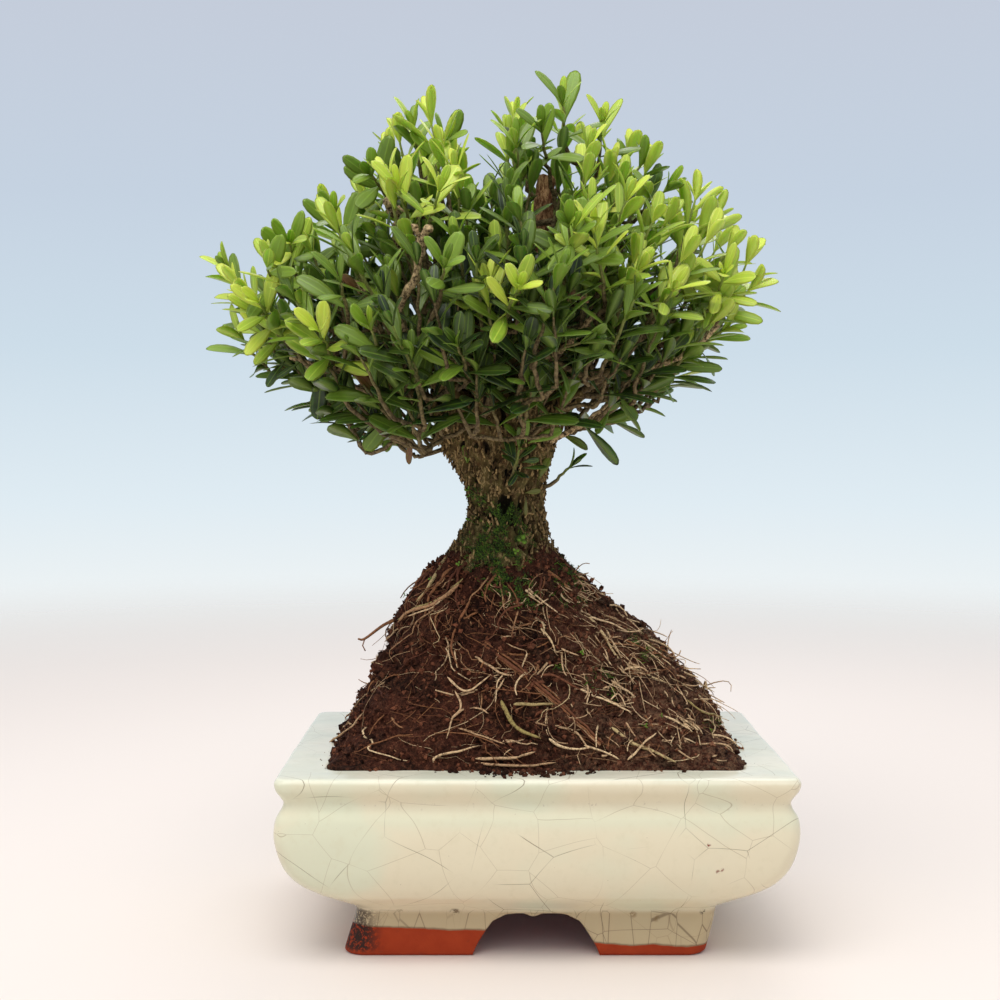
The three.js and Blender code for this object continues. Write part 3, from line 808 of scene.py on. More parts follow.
    clay = look.mix(look.noise(5, 5), srgb(142, 42, 9), srgb(170, 62, 24))
    soiled = look.mix(look.step(look.noise(3.5, 4), 0.6, 0.74, 0, 0.4), clay, srgb(96, 46, 28))
    scorch = look.math("MULTIPLY", look.value("burnt"), look.step(look.noise(1.5, 4, 0.75), 0.4, 0.52))
    burnt = look.mix(scorch, soiled, srgb(44, 28, 22))
    color = look.mix(look.math("MULTIPLY", scorch, 0.9), look.mix(bare, glazed, burnt), srgb(48, 30, 24))
    rough = look.step(bare, 0, 1, 0.14, 0.85)
    grain = look.math("MULTIPLY", look.noise(0.7, 4), bare)
    relief = look.math("ADD", look.math("MULTIPLY", look.noise(9, 3), 0.5), grain)
    relief = look.math("SUBTRACT", relief, look.math("MULTIPLY", major, 0.5))
    return look.finish(
        Base_Color=color,
        Roughness=rough,
        Specular_IOR_Level=0.3,
        Normal=look.bump(relief, 0.2, 0.5),
    )


def peat_look(name, crumb=False):
    look = Look(name)
    tone = look.value("tone") if crumb else look.noise(1.5, 5, 0.75)
    dark = look.mix(look.step(look.noise(14, 3), 0.35, 0.65), srgb(28, 11, 7), srgb(68, 34, 24))
    color = look.mix(look.step(tone, 0.4, 0.92), dark, srgb(142, 86, 62))
    across = look.over_pot()[0]
    dust = look.step(look.noise(2.2, 5, 0.75), 0.42, 0.62)
    dry = look.math("MULTIPLY", look.step(across, -0.02, 0.05, 0.06, 0.5), dust)
    color = look.mix(dry, color, srgb(156, 120, 92))
    # Fine grain for the bump, whose low spots are painted near black: dark peat, and painted shade between
    # the crumbs
    grain = look.noise(0.5, 4, 0.75)
    return look.finish(
        Base_Color=look.mix(look.step(grain, 0.34, 0.62, 0.65, 0), color, srgb(9, 4, 3)),
        Roughness=0.9,
        Specular_IOR_Level=0.1,
        Normal=look.bump(grain, 0.5, 1.0),
    )


def root_look():
    look = Look("roots")
    ramp = look.add("ShaderNodeValToRGB", {"Fac": look.value("tone")})
    stops = [
        (0.0, srgb(52, 24, 16)),
        (0.35, srgb(104, 60, 42)),
        (0.6, srgb(150, 102, 66)),
        (0.85, srgb(230, 198, 154)),
        (1.0, srgb(142, 128, 66)),
    ]
    fill_ramp(ramp.color_ramp, stops)
    speck = look.step(look.noise(0.9, 4, 0.75), 0.45, 0.62, 0, 0.7)
    return look.finish(
        Base_Color=look.mix(speck, ramp.outputs["Color"], srgb(70, 36, 22)),
        Roughness=0.8,
        Specular_IOR_Level=0.2,
        Normal=look.bump(look.noise(0.5, 3), 0.2, 0.8),
    )


def bark_look():
    look = Look("bark")
    squeeze = look.vector("MULTIPLY", look.place, (1, 1, 0.35)).outputs[0]
    streak = look.noise(1.3, 5, 0.75, squeeze)
    ridge = look.value("ridge")
    olive = look.mix(look.step(look.noise(7, 3), 0.4, 0.65), srgb(82, 66, 38), srgb(112, 98, 58))
    rusty = look.step(look.noise(4, 3, 0.6, squeeze), 0.54, 0.68, 0, 0.65)
    reddish = look.mix(rusty, olive, srgb(84, 48, 30))
    light = look.mix(look.step(streak, 0.5, 0.66, 0, 0.9), reddish, srgb(172, 148, 102))
    # Near black where the tone is low, in the furrows and the hollow: darker bark there, and painted shade
    # in them
    dark_and_shaded_furrows = look.mix(look.step(ridge, 0.3, 0.62, 0.97, 0), light, srgb(20, 12, 6))
    lichen = look.mix(look.step(look.noise(3.4, 4, 0.65), 0.58, 0.7, 0, 0.55), dark_and_shaded_furrows, srgb(74, 78, 32))
    moss = look.math("MULTIPLY", look.value("moss"), look.step(look.noise(2.2, 4, 0.7), 0.36, 0.6))
    mossy = look.mix(look.math("MULTIPLY", moss, 0.7), lichen, srgb(44, 54, 18))
    grain = look.mix(look.step(streak, 0.4, 0.62), srgb(92, 52, 34), srgb(196, 152, 110))
    color = look.mix(look.math("MULTIPLY", look.value("cut_wood"), 0.85), mossy, grain)
    return look.finish(
        Base_Color=color,
        Roughness=0.9,
        Specular_IOR_Level=0.15,
        Normal=look.bump(streak, 0.8, 1.0),
    )


def flake_look():
    look = Look("bark_flake")
    color = look.mix(look.value("tone"), srgb(60, 44, 24), srgb(178, 148, 100))
    return look.finish(
        Base_Color=look.mix(look.step(look.noise(0.8, 4), 0.4, 0.66, 0, 0.6), color, srgb(50, 34, 20)),
        Roughness=0.9,
        Specular_IOR_Level=0.15,
        Normal=look.bump(look.noise(0.4, 3), 0.15, 0.8),
    )


def twig_look():
    look = Look("twigs")
    pale = look.mix(look.value("bare"), srgb(80, 70, 38), srgb(204, 176, 130))
    woody = look.mix(look.step(look.noise(1.2, 4, 0.7), 0.36, 0.62), srgb(62, 46, 26), pale)
    fresh = look.mix(look.noise(3), srgb(96, 118, 48), srgb(148, 164, 72))
    return look.finish(
        Base_Color=look.mix(look.value("green"), woody, fresh),
        Roughness=0.75,
        Specular_IOR_Level=0.3,
        Normal=look.bump(look.noise(0.6, 3), 0.25, 0.8),
    )


def leaf_look(name, dark, bright, gloss, glow):
    look = Look(name)
    blade = look.mix(look.value("tone"), dark, bright)
    patchy = look.mix(look.step(look.noise(6, 3), 0.4, 0.7, 0, 0.15), blade, bright)
    away = look.math("ABSOLUTE", look.value("across"))
    # A paler green along the midrib, which is the leaf's own, and along the margins, where it is partly a
    # paler edge and partly a painted highlight
    pale_rib_and_edge_highlight = tuple(1.25 * c + 0.012 for c in bright)
    ribbed = look.mix(look.step(away, 0.03, 0.14, 0.4, 0), patchy, pale_rib_and_edge_highlight)
    pale_margin_and_highlight = look.mix(look.step(away, 0.86, 1, 0, 0.6), ribbed, pale_rib_and_edge_highlight)
    pale = tuple(0.7 * c + 0.03 for c in bright)
    color = look.mix(look.step(look.value("under"), 0.5, 1, 0, 0.7), pale_margin_and_highlight, pale)
    dead = look.mix(look.value("dead"), color, srgb(112, 74, 44))
    veins = look.math("SUBTRACT", look.noise(1.1, 2), look.step(away, 0.03, 0.16, 0.8, 0))
    return look.finish(
        Base_Color=dead,
        Roughness=gloss,
        Specular_IOR_Level=0.42,
        Subsurface_Weight=glow,
        Subsurface_Radius=(0.4, 1.0, 0.15),
        Subsurface_Scale=0.0015,
        Normal=look.bump(veins, 0.12, 0.45),
    )


def moss_look():
    look = Look("moss")
    color = look.mix(look.value("tone"), srgb(32, 50, 12), srgb(104, 140, 34))
    return look.finish(Base_Color=color, Roughness=0.85, Normal=look.bump(look.noise(0.5), 0.1, 0.5))


def screen_look():
    look = Look("screen_plastic")
    color = look.mix(look.noise(4), srgb(28, 30, 32), srgb(48, 50, 52))
    return look.finish(Base_Color=color, Roughness=0.5, Normal=look.bump(look.noise(0.8), 0.1, 0.4))


def floor_look():
    look = Look("pale_floor")
    far = look.vector("LENGTH", look.place, (0, 0, 0)).outputs["Value"]
    return look.finish(
        Base_Color=look.mix(look.noise(600, 2), srgb(229, 218, 210), srgb(233, 223, 216)),
        Roughness=0.8,
        Alpha=look.step(far, FLOOR_FADE[0], FLOOR_FADE[1], 1, 0),
    )


# Pot


def wall_columns(half, radius):
    """Positions along one straight side, even over the arch and then out to the corners."""
    corner = half - radius
    arch = np.linspace(-ARCH_SPAN, ARCH_SPAN, 2 * ARCH_SPAN + 1)
    outer = np.linspace(ARCH_SPAN, corner, 15)[1:]
    return np.concatenate([-outer[::-1], arch, outer])


CORNER_STEPS = 9


def rounded_ring(half_length, half_width, radius):
    """A rounded rectangle, anticlockwise from the front's left corner, with the columns of the arches."""
    turns = np.linspace(0, math.pi / 2, CORNER_STEPS + 2)[1:-1]
    along = wall_columns(half_length, radius)
    side = wall_columns(half_width, radius)
    parts = [np.stack([along, np.full(len(along), -half_width)], -1)]
    corners = [(1, -1, -math.pi / 2), (1, 1, 0), (-1, 1, math.pi / 2), (-1, -1, math.pi)]
    walls = [
        np.stack([np.full(len(side), half_length), side], -1),
        np.stack([along[::-1], np.full(len(along), half_width)], -1),
        np.stack([np.full(len(side), -half_length), side[::-1]], -1),
    ]
    for number, (x, y, first) in enumerate(corners):
        centre = np.array([x * (half_length - radius), y * (half_width - radius)])
        arc = centre + radius * np.stack([np.cos(first + turns), np.sin(first + turns)], -1)
        parts.append(arc)
        if number < 3:
            parts.append(walls[number])
    return np.concatenate(parts)


def arch_heights(outline):
    """How high the foot ring's lower edge lies at each point of its outline."""
    spans, heights = np.array(FOOT_ARCH, float).T
    inside, rise = FOOT_RING_INSIDE[:2]
    front = np.abs(outline[:, 1]) > rise - 1
    side = np.abs(outline[:, 0]) > inside - 1
    over = np.zeros(len(outline))
    drip = 1.3 * np.exp(-(((outline[front, 0] + 1) / 2.4) ** 2))
    over[front] = np.interp(-np.abs(outline[front, 0]), spans, heights)
    over[front] = np.maximum(over[front] - drip * (over[front] > 10), 0)
    side_heights = np.interp(-np.abs(outline[side, 1]) / SIDE_ARCH_SHARE, spans, heights)
    over[side] = np.maximum(over[side], side_heights)
    corner = front & side
    over[corner] = 0
    return over


def pot_mesh():
    """One closed skin: under the floor, down in the foot ring, round its edge, up outside, over the rim."""
    rows = []
    values = {"inside": [], "groove": [], "thin": [], "thick": []}

    def row(points, inside=0.0, groove=0.0, thin=0.0, thick=0.0):
        rows.append(points)
        for key, value in (("inside", inside), ("groove", groove), ("thin", thin), ("thick", thick)):
            values[key].append(np.full(len(points), value))

    def level(height, half_length, half_width, radius):
        ring = rounded_ring(half_length, half_width, radius)
        return np.column_stack([ring, np.full(len(ring), height)])

    half_length, half_width, radius = FOOT_RING_INSIDE
    inner = rounded_ring(half_length, half_width, radius)
    for share in (0.02, 0.35, 0.65, 0.85, 0.97):
        row(np.column_stack([inner * share, np.full(len(inner), POT_FLOOR_UNDERSIDE)]), inside=1.0)
    over_inner = arch_heights(inner)
    for share in (0, 0.25, 0.5, 0.75):
        height = POT_FLOOR_UNDERSIDE + (over_inner + 1.2 - POT_FLOOR_UNDERSIDE) * share
        row(np.column_stack([inner, np.minimum(height, POT_FLOOR_UNDERSIDE - 0.05 * share)]), inside=1.0)
    table = np.array(POT_OUTSIDE, float)
    foot = rounded_ring(*table[1, 1:])
    over = arch_heights(foot)
    # Round the lower edge, from the inner wall to the outer one
    for turn in np.linspace(0, math.pi / 2, 4):
        lift = 1.2 * (1 - math.sin(turn))
        grow = 1.2 * (1 - math.cos(turn))
        grown = rounded_ring(half_length + grow, half_width + grow, radius)
        row(np.column_stack([grown, over_inner + lift]), inside=1.0)
    for share in (0.3, 0.6):
        ring = rounded_ring(half_length + 1.2 + share * 6.4, half_width + 1.2 + share * 6.4, radius)
        row(np.column_stack([ring, arch_heights(ring)]), inside=1.0)
    for turn in np.linspace(0, math.pi / 2, 5):
        inset = 1.3 * (1 - math.sin(turn))
        ring = rounded_ring(table[1, 1] - inset, table[1, 2] - inset, table[1, 3])
        row(np.column_stack([ring, over + 1.3 * (1 - math.cos(turn))]), inside=0.0 if turn > 0.2 else 0.5)
    for share in (0.12, 0.25, 0.4, 0.55, 0.7, 0.85):
        base = over + 1.3
        ring = rounded_ring(*(table[1, 1:] + (table[2, 1:] - table[1, 1:]) * share))
        row(np.column_stack([ring, base + (table[2, 0] - base) * share]))
    wall = spline(table[2:-1], 66)
    wall[:, 3] = np.clip(wall[:, 3], 3, 14)
    for height, length, width, corner in wall:
        groove = math.exp(-((height - 55.5) / 1.4) ** 2) + 0.7 * math.exp(-((height - 16) / 1.2) ** 2)
        # Paler along the lip: thinner glaze and a painted highlight
        thin = 0.45 * math.exp(-((height - 64) / 0.7) ** 2)
        thick = 0.7 * math.exp(-((height - 51) / 3.2) ** 2)
        row(level(height, length, width, corner), groove=groove, thin=thin, thick=thick)
    rim = spline([table[-2], [64.85, 87.2, 63.7, 4], [65, 85.4, 61.9, 5], [65.05, 81, 57.5, 6],
                  [65, 77, 53.5, 6], POT_INSIDE[0], POT_INSIDE[1], POT_INSIDE[2]], 28)[1:]
    # The rim's top is paler: thinner glaze and painted light
    for height, length, width, corner in rim:
        row(level(height, length, width, max(corner, 3)), thin=0.8, thick=0.6)
    for height, length, width, corner in spline(POT_INSIDE[2:], 9)[1:]:
        row(level(height, length, width, corner), inside=1.0)
    floor = rounded_ring(*POT_INSIDE[-1][1:])
    for share in (0.9, 0.7, 0.4, 0.02):
        row(np.column_stack([floor * share, np.full(len(floor), POT_FLOOR_TOP)]), inside=1.0)

    grid = np.array(rows)
    # The feet lean to the left
    lean = FOOT_LEAN * np.clip(1 - grid[..., 2] / POT_FLOOR_UNDERSIDE, 0, 1) ** 1.2
    grid[..., 0] -= lean * smoothstep(np.abs(grid[..., 0]), 35, 60)
    outer = (grid[..., 2] > 16).astype(float)
    unevenness = 0.35 * fractal(grid, 38, 2) + 0.12 * fractal(grid, 9, 2, 5.0)
    shift = grid_normals(grid) * (unevenness * smoothstep(grid[..., 2], 12, 22) * outer)[..., None]
    shift[:, :, 2] *= 0.5
    grid = grid + shift
    points, faces = closed_skin(grid, [0, 0, POT_FLOOR_UNDERSIDE], [0, 0, POT_FLOOR_TOP])
    attributes = {key: np.append(np.concatenate(value), [1, 1]) for key, value in values.items()}
    left_end = smoothstep(-points[:, 0], 52, 61) * smoothstep(-points[:, 1], 20, 36)
    attributes["burnt"] = left_end * smoothstep(points[:, 2], 0.5, 3) * smoothstep(points[:, 2], 17.5, 15)
    return make_mesh("pot_glazed", points, faces, True, attributes)


def drilled(piece):
    """Cuts the drain holes through the pot's floor."""
    for side in (-1, 1):
        bottom, top = POT_FLOOR_UNDERSIDE - 4, POT_FLOOR_TOP + 3
        line = np.array([[side * DRAIN_HOLE_OFFSET, 0, bottom], [side * DRAIN_HOLE_OFFSET, 0, top]])
        cutter_mesh = make_mesh("drill", *tube(line, DRAIN_HOLE_RADIUS, 32))
        cutter = in_scene("drill", cutter_mesh)
        cut = piece.modifiers.new("hole", "BOOLEAN")
        cut.operation = "DIFFERENCE"
        cut.solver = "EXACT"
        cut.object = cutter
        applied(piece)
        bpy.data.objects.remove(cutter)


def applied(piece):
    """Applies the object's modifiers to its mesh."""
    graph = bpy.context.evaluated_depsgraph_get()
    finished = bpy.data.meshes.new_from_object(piece.evaluated_get(graph))
    rough, name = piece.data, piece.data.name
    piece.modifiers.clear()
    piece.data = finished
    bpy.data.meshes.remove(rough)
    finished.name = name


# Root ball


def mound_point(turn, height, grow=0.0):
    """The mound's surface at a turn round it and a height, lumpy as crumbled peat."""
    turn, height = np.broadcast_arrays(np.asarray(turn, float), np.asarray(height, float))
    middle, length, width, square = (np.interp(height, MOUND[:, 0], MOUND[:, k]) for k in range(1, 5))
    c, s = np.cos(turn), np.sin(turn)
    radius = (np.abs(c / length) ** square + np.abs(s / width) ** square) ** (-1 / square)
    fade = np.clip(np.minimum((height - 65.5) / 10, (GROUND_LINE + 4 - height) / 10), 0, 1)
    lumps = (
        1.5 * np.sin(5 * turn + 0.17 * height)
        + 1.1 * np.sin(9 * turn - 0.31 * height + 1.3)
        + 0.7 * np.sin(14 * turn + 0.45 * height)
    )
    out = radius + fade * lumps + grow
    return np.stack([middle + out * c, out * s, height], -1)


def crumbly(points, normals):
    """The mound's surface with the unevenness of crumbs."""
    lumps = 1.8 * fractal(points, 8, 2) + 1.6 * np.abs(fractal(points, 3.2, 2, 3.0))
    rough = lumps + 0.8 * np.abs(fractal(points, 1.4, 2, 9.0))
    return points + normals * rough[..., None]


def peat_mesh():
    heights = np.concatenate([np.linspace(60, 66, 5)[:-1], np.linspace(66, 139, 142)])
    turns = np.arange(PEAT_COLUMNS) / PEAT_COLUMNS * FULL_TURN
    grid = mound_point(turns[None, :], heights[:, None])
    grid = crumbly(grid, grid_normals(grid))
    return make_mesh("peat_mound", *closed_skin(grid, [0, 0, 60], [-11, 0, 141]))


def icosahedron():
    golden = (1 + 5**0.5) / 2
    points = [(-1, golden, 0), (1, golden, 0), (-1, -golden, 0), (1, -golden, 0)]
    points += [(0, -1, golden), (0, 1, golden), (0, -1, -golden), (0, 1, -golden)]
    points += [(golden, 0, -1), (golden, 0, 1), (-golden, 0, -1), (-golden, 0, 1)]
    faces = [(0, 11, 5), (0, 5, 1), (0, 1, 7), (0, 7, 10), (0, 10, 11), (1, 5, 9), (5, 11, 4), (11, 10, 2)]
    faces += [(10, 7, 6), (7, 1, 8), (3, 9, 4), (3, 4, 2), (3, 2, 6), (3, 6, 8), (3, 8, 9), (4, 9, 5)]
    faces += [(2, 4, 11), (6, 2, 10), (8, 6, 7), (9, 8, 1)]
    return unit(points), np.array(faces)


def random_axes(count, size):
    """Random turns for copies, with a size for each, as rows of axes."""
    first = unit(RANDOM.normal(size=(count, 3)))
    second = unit(np.cross(first, unit(RANDOM.normal(size=(count, 3)))))
    third = np.cross(first, second)
    stretch = 0.7 + 0.6 * RANDOM.rand(count, 3, 1)
    return np.stack([first, second, third], 1) * stretch * size[:, None, None]


def mound_sites(count, low, high, spread=1.0):
    """Random places on the mound, with its outward normals there."""
    turns = RANDOM.rand(count) * FULL_TURN
    heights = low + (high - low) * RANDOM.rand(count) ** spread
    grid = mound_point(turns, heights)
    beside = mound_point(turns + 0.01, heights)
    above = mound_point(turns, heights + 0.5)
    return grid, unit(np.cross(beside - grid, above - grid))


# Crumbs on the rim's front in the photograph: middle and spread in pixels, and how many
PHOTO_SPILLS = [
    ((455, 772), (3, 1.2), 10),
    ((484, 772), (6, 1.5), 30),
    ((502, 774), (8, 2), 60),
    ((534, 773), (9, 2), 60),
    ((560, 773), (8, 1.5), 40),
    ((591, 772), (4, 2), 22),
    ((545, 777), (3, 1), 5),
    ((677, 768), (2, 1.2), 8),
    ((694, 768), (3, 1.2), 12),
    ((723, 762), (1.5, 1), 4),
    ((345, 766), (8, 1), 12),
]


def crumbs_mesh():
    """Crumbs of peat: many small angular ones, fewer round lumps, and some that lie on the rim."""
    soup = Soup()
    ball, faces = icosahedron()
    corners = np.array([(1, 0, 0), (-1, 0, 0), (0, 1, 0), (0, -1, 0), (0, 0, 1), (0, 0, -1)], float)
    sides = [(0, 2, 4), (2, 1, 4), (1, 3, 4), (3, 0, 4), (2, 0, 5), (1, 2, 5), (3, 1, 5), (0, 3, 5)]
    sides = np.array(sides)

    def strewn(shape, shape_faces, count, small, large, tone):
        places, normals = mound_sites(count, 66, 134, 1.25)
        places = crumbly(places, normals)
        size = small + (large - small) * RANDOM.rand(count) ** 2.4
        soup.scatter((shape, [shape_faces]), places + normals * (0.4 * size)[:, None],
                     random_axes(count, size), tone=tone * RANDOM.rand(count))

    for number in range(SMALL_CRUMB_SETS):
        strewn(corners * (0.6 + 0.8 * RANDOM.rand(6, 1)), sides, SMALL_CRUMBS, 0.25, 1.15, 1)
    for number in range(ROUND_CRUMB_SETS):
        strewn(ball * (0.55 + 0.75 * RANDOM.rand(len(ball), 1)), faces, ROUND_CRUMBS, 0.6, 1.7, 0.7)
    # Crumbs that spill over the front edge
    for pixel, spread, count in PHOTO_SPILLS:
        places = np.array([on_level(pixel + np.array(spread) * RANDOM.normal(size=2), POT_HEIGHT)
                           for k in range(count)])
        size = 0.35 + 0.75 * RANDOM.rand(count) ** 2
        places[:, 2] += 0.5 * size
        soup.scatter((ball * (0.6 + 0.7 * RANDOM.rand(len(ball), 1)), [faces]), places,
                     random_axes(count, size), tone=0.75 * RANDOM.rand(count))
    # Crumbs that have fallen on the rim
    count = RIM_CRUMBS
    turns = RANDOM.rand(count) * FULL_TURN
    edge = mound_point(turns, np.full(count, 65.6))
    drift = (1 + 0.07 * RANDOM.rand(count) ** 2.5)[:, None]
    size = 0.18 + 0.95 * RANDOM.rand(count) ** 4
    places = edge * np.hstack([drift, drift, np.ones((count, 1))])
    places[:, :2] += 0.8 * RANDOM.normal(size=(count, 2))
    inwards = np.abs(places[:, :2]).T < np.array([[85.0], [61.5]])
    places[:, 2] = POT_HEIGHT + 0.45 * size
    kept = inwards.all(0)
    soup.scatter((corners * (0.7 + 0.6 * RANDOM.rand(6, 1)), [sides]), places[kept],
                 random_axes(count, size)[kept], tone=RANDOM.rand(count)[kept] ** 0.6)
    return soup.mesh("peat_crumbs", smooth=False)


# Roots that the photo shows, as (radius, tone, lift of the far end, pixels along it)
PHOTO_ROOTS = [
    (1.0, 0.98, 0, [(502, 700), (508, 716), (520, 729), (541, 739)]),
    (0.6, 0.75, 0, [(474, 656), (489, 665), (502, 673), (523, 676)]),
    (0.5, 0.78, 0, [(448, 677), (460, 689), (473, 689), (491, 675)]),
    (0.5, 0.75, 0, [(455, 692), (461, 707), (452, 718), (447, 739)]),
    (0.5, 0.72, 0, [(451, 718), (464, 709), (480, 709), (489, 714)]),
    (0.3, 0.55, 0, [(352, 753), (400, 736), (454, 733), (491, 742), (529, 768)]),
    (0.45, 0.72, 0, [(329, 742), (348, 730), (363, 713)]),
    (0.6, 0.78, 0, [(433, 762), (438, 756), (479, 746)]),
    (0.75, 0.74, 0, [(476, 759), (511, 758), (535, 752)]),
    (0.6, 0.7, 0, [(476, 763), (520, 766), (556, 763)]),
    (0.7, 0.95, 0, [(514, 704), (535, 704), (561, 704)]),
    (0.5, 0.75, 0, [(555, 725), (576, 733), (589, 749)]),
    (0.85, 0.93, 0, [(611, 727), (631, 742), (655, 752), (676, 762)]),
    (0.55, 0.82, 2.5, [(628, 760), (641, 746), (656, 731)]),
    (0.6, 0.9, 0, [(589, 617), (605, 636), (620, 660), (667, 683)]),
    (0.5, 0.82, 1.5, [(590, 617), (608, 622), (626, 630)]),
    (0.9, 0.66, 0, [(459, 584), (437, 602), (410, 611), (398, 622)]),
    (0.5, 0.97, 0, [(463, 578), (441, 598), (414, 608), (397, 620)]),
    (0.5, 0.8, 0, [(455, 588), (434, 606), (408, 616)]),
    (0.35, 0.86, 0.6, [(527, 653), (522, 666), (519, 673)]),
    (0.35, 0.84, 0.5, [(504, 674), (497, 685), (496, 702)]),
    (0.45, 0.84, 0, [(584, 745), (605, 752), (620, 760)]),
    (0.4, 0.82, 0.4, [(610, 700), (618, 694), (626, 706)]),
    (0.45, 0.97, 0.3, [(686, 700), (704, 712), (722, 716)]),
    (0.4, 0.9, 0.6, [(668, 664), (690, 676), (714, 692)]),
    (0.4, 0.86, 0.6, [(640, 640), (655, 650), (673, 662)]),
    (0.9, 0.93, 0, [(447, 556), (429, 585), (416, 602)]),
    (0.6, 0.5, 0, [(470, 600), (452, 640), (458, 668)]),
    (0.4, 0.8, 0, [(455, 650), (457, 668)]),
    (0.5, 0.85, 0, [(580, 690), (605, 700), (632, 712)]),
    (0.45, 0.8, 1.0, [(605, 628), (626, 663), (646, 675)]),
    (0.5, 0.86, 0.5, [(664, 716), (677, 722), (690, 729)]),
    (0.4, 0.78, 1.0, [(494, 694), (502, 684), (505, 678)]),
    (0.45, 0.7, 0, [(458, 728), (482, 736), (505, 744)]),
    (0.6, 0.85, 0, [(549, 739), (564, 748), (589, 748)]),
    (0.5, 0.88, 0, [(541, 628), (549, 637), (555, 651)]),
    (0.6, 0.84, 0, [(526, 590), (535, 598)]),
    (0.4, 0.75, 0, [(561, 648), (579, 656)]),
    (0.4, 0.7, 0, [(535, 722), (547, 726)]),
    (0.45, 0.72, 1.0, [(626, 722), (635, 736)]),
    (0.6, 0.4, 0, [(541, 675), (556, 676), (580, 690)]),
]
# The rough root down the middle, a bundle of strands: pixels along it, and its radius
MAIN_ROOT = ([(485, 643), (520, 670), (556, 700), (580, 724), (601, 744)], 1.3)


def on_mound(pixel, lift):
    """Where the camera's line through a pixel of the photograph meets the mound, raised by lift."""
    points = CAMERA_PLACE + np.linspace(480, 620, 700)[:, None] * sight_line(pixel)
    middle, length, width, square = (np.interp(points[:, 2], MOUND[:, 0], MOUND[:, k]) for k in range(1, 5))
    length, width = length + lift, width + lift
    depth = np.abs((points[:, 0] - middle) / length) ** square + np.abs(points[:, 1] / width) ** square
    inside = np.nonzero(depth < 1)[0]
    return points[inside[0] if len(inside) else depth.argmin()]


def wild_root(turn, top, drop, sway, thick, lift, steps):
    """A root that wanders down the mound's surface."""
    turns = turn + np.cumsum(RANDOM.normal(size=steps)) * sway / steps
    turns += (RANDOM.rand() - 0.5) * 3 * sway * np.linspace(0, 1, steps)
    heights = top - drop * np.linspace(0, 1, steps) + RANDOM.normal(size=steps) * 0.6
    hover = lift * RANDOM.rand() * np.sin(np.linspace(0, math.pi, steps)) + 0.5 * thick
    ends = np.abs(np.linspace(-1, 1, steps)) ** 6
    heights = np.clip(heights, 66.5, 136)
    return mound_point(turns, heights, hover + 1.2 - 2.2 * ends)


def straws(soup):
    """Short dry roots, light and thin, most of them on the front's right, some standing off the peat."""
    count = STRAW_COUNT
    right = RANDOM.rand(count) < STRAWS_ON_RIGHT
    turns = np.where(right, np.radians(-38 + 28 * RANDOM.normal(size=count)), RANDOM.rand(count) * FULL_TURN)
    heights = 68 + 62 * RANDOM.rand(count)
    places = mound_point(turns, heights, 1.8)
    beside = mound_point(turns + 0.02, heights, 1.8)
    above = mound_point(turns, heights + 1, 1.8)
    normals = unit(np.cross(beside - places, above - places))
    down = unit(places - above)
    level = np.cross(normals, down)
    lean = RANDOM.normal(size=count) * 0.8
    stand = 0.1 + 0.5 * RANDOM.rand(count) ** 5
    for k in range(count):
        along = unit(down[k] * math.cos(lean[k]) + level[k] * math.sin(lean[k]) + normals[k] * stand[k])
        length = 3 + 11 * RANDOM.rand() ** 1.6
        sway = 0.2 * length * RANDOM.normal(size=3)
        tip = places[k] + along * length
        middle = (places[k] + tip) / 2 + sway
        line = bezier(places[k] - 0.6 * normals[k], middle, tip, np.linspace(0, 1, 6))
        reach_out = np.linalg.norm(mound_point(turns[k], max(line[-1, 2], 66), 0.3)[:2])
        if line[-1, 2] < 66.2 or np.linalg.norm(line[-1, :2]) < 0.8 * reach_out:
            continue
        thick = 0.16 + 0.34 * RANDOM.rand() ** 3
        points, faces = tube(line, thick * np.linspace(1, 0.5, 6), 4)
        paleness = 0.72 if right[k] else 0.5
        soup.add(points, faces, tone=paleness + 0.15 * RANDOM.rand())


